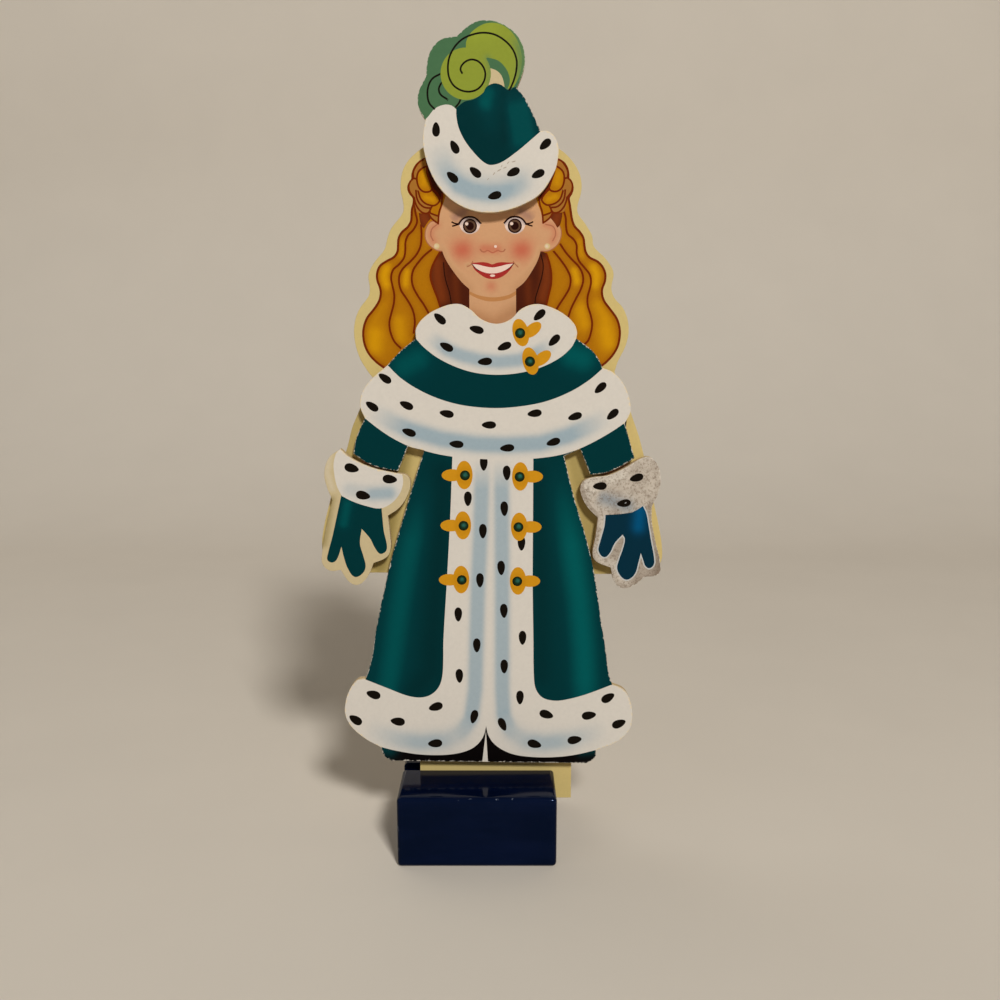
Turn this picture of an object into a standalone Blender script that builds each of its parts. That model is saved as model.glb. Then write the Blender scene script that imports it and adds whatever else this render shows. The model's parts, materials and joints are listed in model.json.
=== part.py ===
"""A magnetic dress-up doll: a flat wooden doll in a slotted stand, dressed in a hat, a coat and two gloves.

Every flat piece is a sawn wooden board with a printed sheet glued to its front. Steel discs lie in the doll's
board under its print, and disc magnets lie in the backs of the garments, so the garments cling to the doll.

Metres, +Z up. The origin is the middle of the stand's underside, the front faces -Y, and +X is to the right as
seen from the front. Left and right in names are as seen from the front.
"""

import math

import bmesh
import bpy
from mathutils import Matrix, Vector
from mathutils.geometry import interpolate_bezier

MM = 0.001

# The stand, a painted wooden block with a slot sawn from end to end
STAND_WIDTH = 46.0 * MM
STAND_DEPTH = 44.0 * MM
STAND_HEIGHT = 21.0 * MM
STAND_EDGE_RADIUS = 0.8 * MM
STAND_EDGE_STEPS = 3
SLOT_DEPTH = 9.3 * MM
SLOT_CLEARANCE = 0.2 * MM
SEAT_GAP = 0.3 * MM

# The doll, whose foot tab stands in the slot a little right of the stand's middle
DOLL_THICKNESS = 5.0 * MM
DOLL_SHIFT = 5.0 * MM
TAB_WIDTH = 46.0 * MM
TAB_SHIFT = 0.35 * MM

# The garments, which lie against the doll's print
GARMENT_THICKNESS = 3.0 * MM
GARMENT_GAP = 0.3 * MM

# The printed sheets and the glue under them
PRINT_THICKNESS = 0.25 * MM
GLUE_LINE = 0.1 * MM

# The magnets in the garments and the steel discs in the doll
MAGNET_DIAMETER = 10.0 * MM
GLOVE_MAGNET_DIAMETER = 8.0 * MM
DISC_DIAMETER = 12.0 * MM
HAND_DISC_DIAMETER = 10.0 * MM
DISC_THICKNESS = 1.0 * MM
POCKET_SKIN = 0.55 * MM
POCKET_CLEARANCE = 0.15 * MM
ROUND_STEPS = 24

# Where each magnet meets its disc, from the doll's middle and from the stand's top
HEAD_PLACE = (-0.5 * MM, 179.0 * MM)
CHEST_PLACE = (0.0 * MM, 126.0 * MM)
SKIRT_PLACE = (0.0 * MM, 45.0 * MM)
LEFT_HAND_PLACE = (-36.0 * MM, 86.0 * MM)
RIGHT_HAND_PLACE = (37.0 * MM, 86.0 * MM)

# Planes from back to front, which faces -Y
DOLL_BACK = DOLL_THICKNESS / 2
DOLL_FRONT = -DOLL_THICKNESS / 2
GARMENT_BACK = DOLL_FRONT - GARMENT_GAP
GARMENT_FRONT = GARMENT_BACK - GARMENT_THICKNESS
SHEET_DEPTH = PRINT_THICKNESS + GLUE_LINE
MAGNET_THICKNESS = GARMENT_THICKNESS - SHEET_DEPTH - POCKET_SKIN - GLUE_LINE

# How finely an outline's curves are cut, and how far a curve's handles reach along a span
SPAN_STEPS = 3
HANDLE_REACH = 0.36
CUTTER_SPARE = 5.0 * MM

# Outlines in millimetres, from the doll's middle and from the stand's top. A third value marks a corner.
CORNER = True

TAB_LEFT = (TAB_SHIFT - TAB_WIDTH / 2) / MM
TAB_RIGHT = (TAB_SHIFT + TAB_WIDTH / 2) / MM
TAB_BOTTOM = (SEAT_GAP - SLOT_DEPTH) / MM
TAB_TOP = 19.0

DOLL_OUTLINE = [
    # Right side of the hair, from the crown down
    (-0.7, 187.2), (9.0, 185.8), (15.5, 182.9), (20.3, 179.8), (23.7, 175.0), (24.3, 170.5), (23.2, 165.0),
    (25.4, 161.6), (27.4, 158.3), (28.0, 155.3), (31.3, 152.0), (33.6, 148.2), (33.1, 144.0), (33.9, 141.3),
    (36.7, 138.0), (38.2, 133.0), (37.5, 128.0), (35.3, 123.3), (34.4, 120.4, CORNER),
    # Right arm and hand
    (37.6, 113.5), (40.0, 106.8), (42.0, 101.2), (45.0, 89.6), (46.9, 81.0), (48.2, 75.5), (49.3, 69.0),
    (48.9, 64.4), (46.4, 62.6), (42.4, 61.6), (38.4, 59.8), (35.4, 61.2, CORNER), (28.0, 61.2, CORNER),
    # Lower body and foot tab
    (25.6, 39.0), (TAB_RIGHT, TAB_TOP, CORNER), (TAB_RIGHT, TAB_BOTTOM, CORNER),
    (TAB_LEFT, TAB_BOTTOM, CORNER), (TAB_LEFT, TAB_TOP, CORNER), (-25.4, 39.0),
    # Left hand and arm
    (-30.0, 61.6, CORNER), (-36.6, 61.6, CORNER), (-40.6, 60.0), (-44.0, 61.8), (-47.6, 63.6), (-50.1, 66.6),
    (-50.6, 70.5), (-49.9, 75.5), (-48.2, 82.0), (-46.2, 89.0), (-43.7, 95.2), (-42.2, 99.8), (-41.0, 104.3),
    (-39.4, 108.1), (-37.2, 113.0), (-34.6, 118.6, CORNER),
    # Left side of the hair, from the tips up
    (-36.3, 120.8), (-38.4, 124.5), (-39.7, 129.5), (-39.6, 134.0), (-38.2, 138.0), (-35.5, 141.6),
    (-35.1, 144.0), (-35.4, 147.4), (-33.8, 150.8), (-30.8, 154.4), (-29.9, 157.4), (-28.7, 160.3),
    (-25.5, 164.4), (-25.3, 167.0), (-26.0, 171.0), (-25.2, 176.0), (-22.5, 179.7), (-17.3, 183.2), (-10.0, 186.0),
]

HAT_OUTLINE = [
    # Front plume, from its top to where it leaves the crown
    (-2.2, 214.0), (1.5, 213.4), (5.0, 211.4), (7.4, 208.4), (8.4, 204.8), (8.0, 201.2), (6.2, 196.7, CORNER),
    # Right side of the crown and end of the brim
    (8.4, 194.1), (10.4, 190.4), (12.7, 185.6, CORNER), (14.6, 185.6), (16.5, 184.2), (17.6, 181.6),
    # Under edge of the brim
    (17.5, 178.4), (16.6, 175.0), (13.0, 169.4), (8.3, 166.4), (3.0, 164.6), (-1.7, 164.1), (-6.3, 164.8),
    (-11.0, 167.0), (-14.6, 170.3), (-17.2, 174.4), (-18.9, 179.4), (-19.4, 184.0), (-18.6, 188.5, CORNER),
    # Back plume
    (-20.1, 190.9), (-20.7, 193.6), (-20.1, 196.4), (-18.3, 199.7, CORNER), (-18.1, 202.5), (-17.4, 205.4),
    (-15.9, 207.8), (-13.5, 209.4), (-10.0, 209.9, CORNER), (-7.7, 211.9), (-5.1, 213.5),
]

COAT_OUTLINE = [
    # Collar, from the left lobe across the neck to the right lobe
    (-10.3, 139.4), (-6.7, 137.9), (-3.6, 135.2), (0.7, 133.9), (4.7, 135.2), (7.5, 137.9), (11.3, 139.3),
    (15.2, 138.7), (19.2, 136.8), (22.3, 134.1), (23.3, 131.6), (23.1, 129.8, CORNER),
    # Right shoulder, cape and sleeve
    (27.2, 126.8), (29.3, 124.3), (30.6, 121.6, CORNER), (33.6, 120.4), (36.6, 117.2), (38.5, 112.6),
    (38.7, 109.0), (37.2, 106.0, CORNER), (40.2, 96.0, CORNER), (35.9, 93.4), (32.0, 91.8), (27.6, 91.2, CORNER),
    (24.6, 98.7, CORNER), (20.0, 96.6, CORNER),
    # Right edge of the skirt
    (23.1, 84.3), (27.1, 71.1), (29.7, 59.3), (31.1, 49.7), (33.1, 37.7), (33.8, 32.3), (35.0, 28.2, CORNER),
    # Hem and the lining under it
    (38.7, 26.4), (40.6, 22.6), (41.2, 18.5), (40.4, 14.2), (37.0, 10.6), (30.7, 7.8, CORNER), (30.1, 5.2),
    (27.6, 3.6, CORNER), (-31.0, 4.4, CORNER), (-33.1, 5.9), (-34.0, 8.6, CORNER), (-38.6, 11.3), (-42.6, 14.9),
    (-44.5, 18.7), (-44.4, 22.6), (-43.0, 26.8), (-40.7, 29.6), (-38.3, 29.9, CORNER),
    # Left edge of the skirt
    (-36.4, 36.0), (-34.9, 45.0), (-32.6, 55.7), (-29.7, 67.4), (-25.7, 80.6), (-22.4, 91.2), (-20.0, 98.2, CORNER),
    # Left sleeve, cape and shoulder
    (-24.7, 99.3, CORNER), (-27.6, 92.3, CORNER), (-33.0, 93.3), (-36.7, 94.8), (-40.3, 97.3, CORNER),
    (-39.3, 102.0), (-36.8, 107.4, CORNER), (-38.1, 110.9), (-37.4, 114.8), (-34.9, 118.3), (-30.3, 122.2, CORNER),
    (-26.5, 126.2), (-22.0, 129.8, CORNER), (-21.9, 132.6), (-19.6, 135.7), (-15.4, 138.2),
]

LEFT_GLOVE_OUTLINE = [
    # Cuff
    (-44.0, 98.6, CORNER), (-41.1, 96.0), (-35.0, 93.2), (-28.0, 91.6), (-25.2, 91.0), (-24.1, 88.9), (-25.0, 85.2),
    (-27.4, 81.6), (-30.8, 79.2, CORNER),
    # Fingers, from the one beside the skirt outwards
    (-30.2, 73.0), (-30.1, 69.6), (-31.3, 67.0), (-35.2, 65.2, CORNER), (-36.6, 61.8), (-38.6, 59.3), (-40.7, 58.7),
    (-42.7, 59.9), (-44.8, 63.2, CORNER), (-47.7, 62.9), (-49.9, 64.6), (-50.2, 67.5), (-48.6, 76.0),
    (-46.7, 83.9, CORNER), (-48.3, 88.0), (-48.8, 92.0), (-47.3, 96.2),
]

RIGHT_GLOVE_OUTLINE = [
    # Cuff
    (44.7, 96.2), (46.9, 94.0), (47.9, 90.0), (47.3, 85.9), (45.5, 81.9, CORNER),
    # Fingers, from the outer one inwards
    (45.6, 77.5), (46.9, 71.2), (48.5, 64.4), (47.7, 61.8), (43.8, 61.1, CORNER), (41.6, 59.1), (38.1, 57.7),
    (35.4, 59.1), (33.9, 63.9, CORNER), (29.7, 65.7), (28.6, 68.0), (29.4, 73.2), (30.0, 78.6, CORNER),
    # Cuff again
    (26.9, 81.8), (24.9, 86.0), (25.3, 88.9), (28.0, 90.3), (32.5, 90.9), (37.5, 93.1), (42.0, 95.8),
]


def linear_colour(code):
    """Turns an sRGB hex colour into linear red, green, blue and alpha."""
    channels = [int(code[i:i + 2], 16) / 255 for i in (1, 3, 5)]
    linear = [c / 12.92 if c <= 0.04045 else ((c + 0.055) / 1.055) ** 2.4 for c in channels]
    return (*linear, 1.0)


def finish(item, colour, roughness, metallic=0.0):
    """Gives an object a material of its own."""
    material = bpy.data.materials.new(item.name)
    material.use_nodes = True
    shader = material.node_tree.nodes["Principled BSDF"]
    shader.inputs["Base Color"].default_value = linear_colour(colour)
    shader.inputs["Roughness"].default_value = roughness
    shader.inputs["Metallic"].default_value = metallic
    item.data.materials.append(material)


def add_object(name, form, parent=None, place=(0.0, 0.0)):
    """Makes an object from a bmesh. Its origin lies at the given place in the plane of the doll."""
    bmesh.ops.recalc_face_normals(form, faces=form.faces)
    mesh = bpy.data.meshes.new(name)
    form.to_mesh(mesh)
    form.free()
    item = bpy.data.objects.new(name, mesh)
    bpy.context.scene.collection.objects.link(item)
    item.parent = parent
    item.location = (place[0], 0.0, place[1])
    return item


def hide_cutter(cutter):
    """Marks an object as a tool that only cuts others."""
    cutter.hide_render = True
    cutter.display_type = "WIRE"


def cut(item, cutter):
    """Cuts one object out of another."""
    hide_cutter(cutter)
    boolean = item.modifiers.new(cutter.name, "BOOLEAN")
    boolean.operation = "DIFFERENCE"
    boolean.solver = "EXACT"
    boolean.object = cutter


def smooth_loop(outline):
    """Points along a closed outline: a smooth curve through its points, broken at each corner."""
    places = [Vector(point[:2]) * MM for point in outline]
    corners = [len(point) > 2 for point in outline]
    count = len(outline)
    loop = []
    for here in range(count):
        after = (here + 1) % count
        start, end = places[here], places[after]
        span = end - start
        loop.append(start)
        if corners[here] and corners[after]:
            continue
        leaving = span if corners[here] else end - places[here - 1]
        arriving = span if corners[after] else places[(after + 1) % count] - start
        reach = span.length * HANDLE_REACH
        first_handle = start + leaving.normalized() * reach
        last_handle = end - arriving.normalized() * reach
        loop += interpolate_bezier(start, first_handle, last_handle, end, SPAN_STEPS + 1)[1:-1]
    return loop


def slab(name, outline, back, front, frame, place):
    """A flat piece of the given outline between two planes, with its origin at its place."""
    form = bmesh.new()
    loop = smooth_loop(outline)
    back_ring = [form.verts.new((x - place[0], back, z - place[1])) for x, z in loop]
    front_ring = [form.verts.new((x - place[0], front, z - place[1])) for x, z in loop]
    form.faces.new(back_ring)
    form.faces.new(front_ring)
    for here, back_vert in enumerate(back_ring):
        form.faces.new((back_ring[here - 1], back_vert, front_ring[here], front_ring[here - 1]))
    return add_object(name, form, frame, place)


def round_plug(name, diameter, back, front, frame, place):
    """A disc between two planes, with its origin at its place and its axis along Y."""
    form = bmesh.new()
    middle = Matrix.Translation((0.0, (back + front) / 2, 0.0))
    turned = Matrix.Rotation(math.radians(90), 4, "X")
    bmesh.ops.create_cone(form, cap_ends=True, segments=ROUND_STEPS, radius1=diameter / 2, radius2=diameter / 2,
                          depth=back - front, matrix=middle @ turned)
    plug = add_object(name, form, frame, place)
    plug.data.shade_smooth()
    plug.data.set_sharp_from_angle(angle=math.radians(40))
    return plug


def block(name, low, high):
    """A plain box between two corners."""
    form = bmesh.new()
    size = Vector(high) - Vector(low)
    middle = Matrix.Translation((Vector(high) + Vector(low)) / 2)
    bmesh.ops.create_cube(form, size=1.0, matrix=middle @ Matrix.Diagonal((*size, 1.0)))
    return add_object(name, form)


def make_stand():
    """The painted block that holds the doll upright."""
    half_width, half_depth = STAND_WIDTH / 2, STAND_DEPTH / 2
    stand = block("stand_block", (-half_width, -half_depth, 0.0), (half_width, half_depth, STAND_HEIGHT))
    rounding = stand.modifiers.new("rounded edges", "BEVEL")
    rounding.width = STAND_EDGE_RADIUS
    rounding.segments = STAND_EDGE_STEPS
    half_slot = DOLL_THICKNESS / 2 + SLOT_CLEARANCE
    slot = block("slot_cutter", (-half_width - CUTTER_SPARE, -half_slot, STAND_HEIGHT - SLOT_DEPTH),
                 (half_width + CUTTER_SPARE, half_slot, STAND_HEIGHT + CUTTER_SPARE))
    cut(stand, slot)
    finish(stand, "#0a1022", 0.25)


def make_print(name, outline, front, frame, place, colour):
    """The printed sheet that covers a board's front."""
    sheet = slab(name, outline, front + PRINT_THICKNESS, front, frame, place)
    finish(sheet, colour, 0.35)


def make_doll(frame):
    """The doll's board, its print and the steel discs between them."""
    place = (0.0, 0.0)
    core_front = DOLL_FRONT + SHEET_DEPTH
    board = slab("doll_board", DOLL_OUTLINE, DOLL_BACK, core_front, frame, place)
    finish(board, "#c7b475", 0.5)
    make_print("doll_print", DOLL_OUTLINE, DOLL_FRONT, frame, place, "#be916a")
    discs = [
        ("doll_head_disc", HEAD_PLACE, DISC_DIAMETER),
        ("doll_chest_disc", CHEST_PLACE, DISC_DIAMETER),
        ("doll_skirt_disc", SKIRT_PLACE, DISC_DIAMETER),
        ("doll_left_hand_disc", LEFT_HAND_PLACE, HAND_DISC_DIAMETER),
        ("doll_right_hand_disc", RIGHT_HAND_PLACE, HAND_DISC_DIAMETER),
    ]
    for name, disc_place, diameter in discs:
        disc_back = core_front + DISC_THICKNESS
        disc = round_plug(name, diameter, disc_back, core_front, frame, disc_place)
        finish(disc, "#8c8c8a", 0.35, metallic=1.0)
        pocket = round_plug(name + "_pocket", diameter + 2 * POCKET_CLEARANCE, disc_back + GLUE_LINE,
                            core_front - CUTTER_SPARE, frame, disc_place)
        cut(board, pocket)


def make_garment(name, outline, magnets, colour, frame):
    """A garment's board, its print and the magnets let into its back. Its origin lies at its first magnet."""
    seat = magnets[0][1]
    board = slab(name + "_board", outline, GARMENT_BACK, GARMENT_FRONT + SHEET_DEPTH, frame, seat)
    finish(board, "#c2a36f", 0.6)
    make_print(name + "_print", outline, GARMENT_FRONT, frame, seat, colour)
    for magnet_name, place, diameter in magnets:
        magnet_front = GARMENT_BACK - MAGNET_THICKNESS
        magnet = round_plug(magnet_name, diameter, GARMENT_BACK, magnet_front, frame, place)
        finish(magnet, "#26272a", 0.55)
        pocket = round_plug(magnet_name + "_pocket", diameter + 2 * POCKET_CLEARANCE, GARMENT_BACK + CUTTER_SPARE,
                            magnet_front - GLUE_LINE, frame, place)
        cut(board, pocket)


def main():
    """Clears the scene and builds the stand, the doll and the garments."""
    for item in list(bpy.data.objects):
        bpy.data.objects.remove(item, do_unlink=True)
    make_stand()
    frame = bpy.data.objects.new("doll_frame", None)
    bpy.context.scene.collection.objects.link(frame)
    frame.location = (DOLL_SHIFT, 0.0, STAND_HEIGHT)
    make_doll(frame)
    make_garment("hat", HAT_OUTLINE, [("hat_magnet", HEAD_PLACE, MAGNET_DIAMETER)], "#004542", frame)
    coat_magnets = [
        ("coat_chest_magnet", CHEST_PLACE, MAGNET_DIAMETER),
        ("coat_skirt_magnet", SKIRT_PLACE, MAGNET_DIAMETER),
    ]
    make_garment("coat", COAT_OUTLINE, coat_magnets, "#014a4d", frame)
    left_magnet = ("left_glove_magnet", LEFT_HAND_PLACE, GLOVE_MAGNET_DIAMETER)
    right_magnet = ("right_glove_magnet", RIGHT_HAND_PLACE, GLOVE_MAGNET_DIAMETER)
    make_garment("left_glove", LEFT_GLOVE_OUTLINE, [left_magnet], "#032c2e", frame)
    make_garment("right_glove", RIGHT_GLOVE_OUTLINE, [right_magnet], "#052938", frame)
    bpy.context.view_layer.update()


main()
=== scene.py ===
"""Looks of a magnetic dress-up doll: printed wooden boards, let-in magnets, a glossy stand and a studio.

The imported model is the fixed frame. Every printed sheet takes its silhouette from the frame. Its picture is
drawn here as plain shapes in millimetres: x to the right and z up from the middle of the stand's underside.
"""

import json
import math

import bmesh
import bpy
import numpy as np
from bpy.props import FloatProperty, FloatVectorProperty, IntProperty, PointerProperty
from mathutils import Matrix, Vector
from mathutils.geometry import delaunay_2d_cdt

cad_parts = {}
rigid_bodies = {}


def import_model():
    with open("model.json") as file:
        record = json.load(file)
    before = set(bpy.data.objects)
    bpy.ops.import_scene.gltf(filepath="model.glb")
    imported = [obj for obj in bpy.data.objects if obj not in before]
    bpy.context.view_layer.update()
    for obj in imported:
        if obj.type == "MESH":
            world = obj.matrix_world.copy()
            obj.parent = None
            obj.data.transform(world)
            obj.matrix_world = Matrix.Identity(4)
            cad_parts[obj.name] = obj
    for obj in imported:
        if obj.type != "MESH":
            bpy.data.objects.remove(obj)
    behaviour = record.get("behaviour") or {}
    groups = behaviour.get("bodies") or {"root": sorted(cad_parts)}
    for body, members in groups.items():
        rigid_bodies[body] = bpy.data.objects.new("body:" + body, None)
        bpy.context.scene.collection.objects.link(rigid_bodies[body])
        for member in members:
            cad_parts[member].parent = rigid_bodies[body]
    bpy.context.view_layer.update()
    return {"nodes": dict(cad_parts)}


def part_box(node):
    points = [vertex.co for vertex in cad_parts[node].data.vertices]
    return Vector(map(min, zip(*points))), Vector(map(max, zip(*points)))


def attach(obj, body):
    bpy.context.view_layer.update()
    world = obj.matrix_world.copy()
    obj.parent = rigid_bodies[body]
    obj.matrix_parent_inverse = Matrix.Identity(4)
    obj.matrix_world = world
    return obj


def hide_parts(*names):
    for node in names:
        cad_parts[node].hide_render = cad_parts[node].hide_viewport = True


bl_info = {
    "name": "Magnetic dress-up doll",
    "version": (1, 0, 0),
    "blender": (4, 5, 0),
    "location": "View3D > Sidebar > Dress-up doll",
    "description": "Builds the printed boards, magnets, stand and studio of a magnetic dress-up doll",
    "category": "Add Mesh",
}

for leftover in list(bpy.data.objects):
    bpy.data.objects.remove(leftover, do_unlink=True)
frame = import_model()

MM = 0.001

# A third value in an outline marks a corner
CORNER = True

# Distance from an edge, in millimetres, past which nothing is worn
UNWORN = 5.0

# Angle in degrees past which an edge of a board, a disc or the stand stays sharp
SHARP_ANGLE = 35

# Distance within which two places count as one
TOUCH = 0.01 * MM

# Least value that a direction or a share of a length is divided by
TINY = 1e-9

# How much longer a step is along a straight run than along a curve
STRAIGHT_STEP = 2.5

# Keeps a sharp corner of an outline from being drawn out into a spike
LEAST_SPREAD = 0.4

# Distance between the rows of a grid of even triangles, as a share of the distance between its points
ROW_GAP = 0.866

# Steps round the edge of a board or a disc
EDGE_STEPS = 3

# Sides of a round pocket, and the room behind its disc in millimetres
POCKET_SIDES = 48
POCKET_ROOM = 0.1

# The slot's points are this near the stand's middle, and this far above the table
SLOT_REACH = 6 * MM

# Points of a printed sheet, and of a board's face, that are one if they lie closer, in millimetres
SHEET_MERGE = 1e-4
CAP_MERGE = 1e-6


def linear_colour(code):
    """Turns an sRGB hex colour into linear red, green and blue."""
    channels = [int(code[i:i + 2], 16) / 255 for i in (1, 3, 5)]
    return tuple(c / 12.92 if c <= 0.04045 else ((c + 0.055) / 1.055) ** 2.4 for c in channels)


def colour(name, code, description):
    """A colour that a user can change."""
    return FloatVectorProperty(name=name, description=description, default=linear_colour(code),
                               subtype="COLOR", size=3, min=0.0, max=1.0)


def length(name, default, description):
    """A length that a user can change, in metres."""
    return FloatProperty(name=name, description=description, default=default, min=0.0, precision=5,
                         unit="LENGTH")


# Sizes that the frame gives
PRINT_FRONT = {node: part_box(node)[0].y for node in frame["nodes"] if node.endswith("_print")}
SLOT_POINTS = [v.co for v in frame["nodes"]["stand_block"].data.vertices
               if abs(v.co.y) < SLOT_REACH and v.co.z > SLOT_REACH]
SLOT_WIDTH = 2 * max(p.y for p in SLOT_POINTS)
SLOT_FLOOR = min(p.z for p in SLOT_POINTS)


class DollSizes(bpy.types.PropertyGroup):
    """Sizes of the finish on the frame's pieces."""

    print_rim: length("Print rim", 0.12 * MM, "Rounding along the cut edge of a printed sheet")
    print_step: length("Curve step", 0.45 * MM, "Distance between points along a printed curve")
    print_grid: length("Shading grid", 0.8 * MM,
                       "Distance between the points that carry a print's soft shading")
    board_edge: length("Board edge", 0.3 * MM, "Rounding along the edges of a sawn board")
    stand_edge: length("Stand edge", 1.2 * MM, "Rounding along the edges of the stand")
    slot_edge: length("Slot edge", 0.35 * MM, "Rounding along the mouth of the stand's slot")
    worn_band: length("Worn band", 2.5 * MM, "Width along the stand's edges where the paint can wear")
    slot_width: length("Slot width", SLOT_WIDTH, "Width of the slot that holds the doll's tab")
    slot_floor: length("Slot floor", SLOT_FLOOR, "Height of the slot's floor above the table")
    disc_edge: length("Disc edge", 0.25 * MM, "Rounding along the rim of a magnet or a steel disc")
    pocket_gap: length("Pocket gap", 0.15 * MM, "Gap between a magnet and the side of its pocket")
    disc_sides: IntProperty(name="Disc sides", description="Sides of a round magnet", default=64, min=12)


class DollColours(bpy.types.PropertyGroup):
    """Colours of the inks, paints and wood."""

    fur: colour("Fur", "#cbc3b7", "White of the ermine trim")
    fur_shade: colour("Fur shade", "#93a2a8", "Blue shading in the ermine trim")
    worn_fur: colour("Worn fur", "#bcb0a0", "Rubbed, greying trim of the right glove")
    worn_blue: colour("Worn blue", "#7f878c", "Blue left in the rubbed trim of the right glove")
    worn_dirt: colour("Worn dirt", "#6b5948", "Grime in the rubbed trim of the right glove")
    cloth: colour("Cloth", "#003437", "Teal of the coat")
    cloth_light: colour("Cloth light", "#005453", "Light folds of the teal coat")
    cloth_dark: colour("Cloth dark", "#012224", "Dark folds of the teal coat")
    blue_cloth: colour("Blue cloth", "#052938", "Faded blue of the right glove")
    blue_light: colour("Blue light", "#024a70", "Light on the blue glove")
    blue_dark: colour("Blue dark", "#05202c", "Shade on the blue glove")
    plume: colour("Plume", "#838d31", "Light green of the front plume")
    plume_light: colour("Plume light", "#8d9932", "Light on the front plume")
    plume_back: colour("Back plume", "#446746", "Dark green of the back plume")
    plume_edge: colour("Plume edge", "#5d7a48", "Light edge of the back plume")
    gold: colour("Gold", "#c28618", "Yellow of the clasps")
    gold_dark: colour("Gold dark", "#b0760d", "Shade on the clasps")
    jewel: colour("Jewel", "#16301b", "Green of the round stones")
    jewel_light: colour("Jewel light", "#2f6a5e", "Light in the round stones")
    black: colour("Black", "#120d08", "Tails in the ermine and the drawn curls")
    lining: colour("Lining", "#080505", "Dark strip under the hem")
    border: colour("Border", "#c3ad70", "Pale yellow margin around the figure")
    # Painted shade on the doll's margin where the garments shade it, the darker outer edge of the left
    # glove's margin, and grime on cut paper edges
    border_shade_and_grime: colour("Border dark", "#84733f", "Grimy parts of the margin")
    pale_border: colour("Pale border", "#bcaa83", "Cream margin around the left glove")
    hair: colour("Hair", "#a66a0a", "Middle of the hair")
    hair_light: colour("Hair light", "#c88e0a", "Lit locks of the hair")
    hair_dark: colour("Hair dark", "#8a480b", "Shade beside the strands")
    hair_line: colour("Hair line", "#692305", "Drawn strands of the hair")
    hair_deep: colour("Deep hair", "#461b0d", "Hair behind the neck")
    hair_deep_light: colour("Deep hair light", "#733212", "Red-brown hair behind the cheeks")
    braid: colour("Braid", "#9b6628", "Plaited hair at the temples")
    skin: colour("Skin", "#c2936b", "Skin")
    skin_shade: colour("Skin shade", "#a1714b", "Shade on the skin")
    neck: colour("Neck", "#b17a49", "Shade under the chin")
    crease: colour("Crease", "#a06447", "Drawn lines of the nose, the ears and the smile")
    blush: colour("Blush", "#b85d45", "Cheeks, nose and ears")
    lid: colour("Eye shadow", "#97705f", "Mauve tint above the eyes")
    lip: colour("Lip", "#9c2c28", "Lips")
    lip_dark: colour("Lip dark", "#75201d", "Corners of the mouth")
    white: colour("White", "#dcc2b1", "Teeth and eyes")
    iris: colour("Iris", "#59402f", "Brown of the eyes")
    pupil: colour("Pupil", "#220b06", "Pupils and lashes")
    slip: colour("Slip", "#b9a9a6", "Plain underdress that the coat covers")
    slip_shade: colour("Slip shade", "#8d8288", "Folds of the underdress")
    paper: colour("Paper", "#d3cabb", "Bare paper where the print is chipped")
    cream_edge: colour("Cream edge", "#d9c49b", "Bare glue and wood at the rubbed rim of the fur")
    wood: colour("Wood", "#d0bb94", "Pale sawn wood of the boards")
    wood_dark: colour("Wood grain", "#b79c70", "Darker grain of the wood")
    ply_dark: colour("Cross ply", "#a88d62", "End grain of the middle ply")
    tab_paint: colour("Tab paint", "#b5a164", "Pale yellow paint on the doll's board")
    enamel: colour("Enamel", "#00081e", "Navy paint of the stand")
    enamel_light: colour("Enamel light", "#040e28", "Thin paint on the stand")
    enamel_gloss: colour("Enamel gloss", "#bcd2ff", "Cool tint of the stand's reflections")
    primer: colour("Primer", "#646a78", "Grey primer in the chips of the stand")
    steel: colour("Steel", "#9a9a97", "Steel discs in the doll")
    ferrite: colour("Ferrite", "#2a2b2e", "Ceramic magnets")


class DollStudio(bpy.types.PropertyGroup):
    """The floor, the light and the camera."""

    floor: colour("Floor", "#cfc5b6", "Pale floor and backdrop")
    horizon: colour("Horizon", "#b6ac9d", "Pale surroundings that are seen past the backdrop")
    key_power: FloatProperty(name="Key light", description="Power of the main light", default=40.0,
                             min=0.0, unit="POWER")
    fill_power: FloatProperty(name="Fill light", description="Power of the soft light from the left",
                              default=1.4, min=0.0, unit="POWER")
    back_power: FloatProperty(name="Back light", description="Power of the soft light from behind",
                              default=2.0, min=0.0, unit="POWER")
    sky: FloatProperty(name="Sky", description="Strength of the light from all sides", default=0.03, min=0.0)
    camera_place: FloatVectorProperty(name="Camera place", description="Where the photograph was taken from",
                                      default=(0.00666, -0.2905, 0.1504), subtype="TRANSLATION",
                                      unit="LENGTH")
    camera_pitch: FloatProperty(name="Camera pitch", description="How far the camera looks down",
                                default=math.radians(9.09), subtype="ANGLE")
    camera_lens: FloatProperty(name="Camera lens", description="Focal length on a sensor 36 mm wide",
                               default=36.0, unit="CAMERA")


# Materials

def add_node(tree, kind, inputs=(), out=0, stops=(), **settings):
    """Adds a node with its settings and a ramp's stops, and gives back one of its outputs. Inputs are listed
    in order or by name. Each is a value, or the output that it is linked to."""
    node = tree.nodes.new("ShaderNode" + kind)
    for key, value in settings.items():
        setattr(node, key, value)
    for key, value in inputs.items() if isinstance(inputs, dict) else enumerate(inputs):
        if isinstance(value, bpy.types.NodeSocket):
            tree.links.new(value, node.inputs[key])
        else:
            node.inputs[key].default_value = value
    for position, _ in stops[1:-1]:
        node.color_ramp.elements.new(position)
    for number, (position, tint) in enumerate(stops):
        node.color_ramp.elements[number].position = position
        node.color_ramp.elements[number].color = rgba(tint)
    return node.outputs[out] if node.outputs else None


def new_material(name):
    """An empty node material, and the place where it reads its patterns: metres on the piece itself."""
    material = bpy.data.materials.new(name)
    material.use_nodes = True
    tree = material.node_tree
    tree.nodes.clear()
    return material, tree, add_node(tree, "TexCoord", out="Object")


def grain(size):
    """Noise scale for a pattern of the given size in millimetres."""
    return 1000.0 / size


def rgba(value):
    """A colour property with its alpha."""
    return (*value, 1.0)


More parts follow.
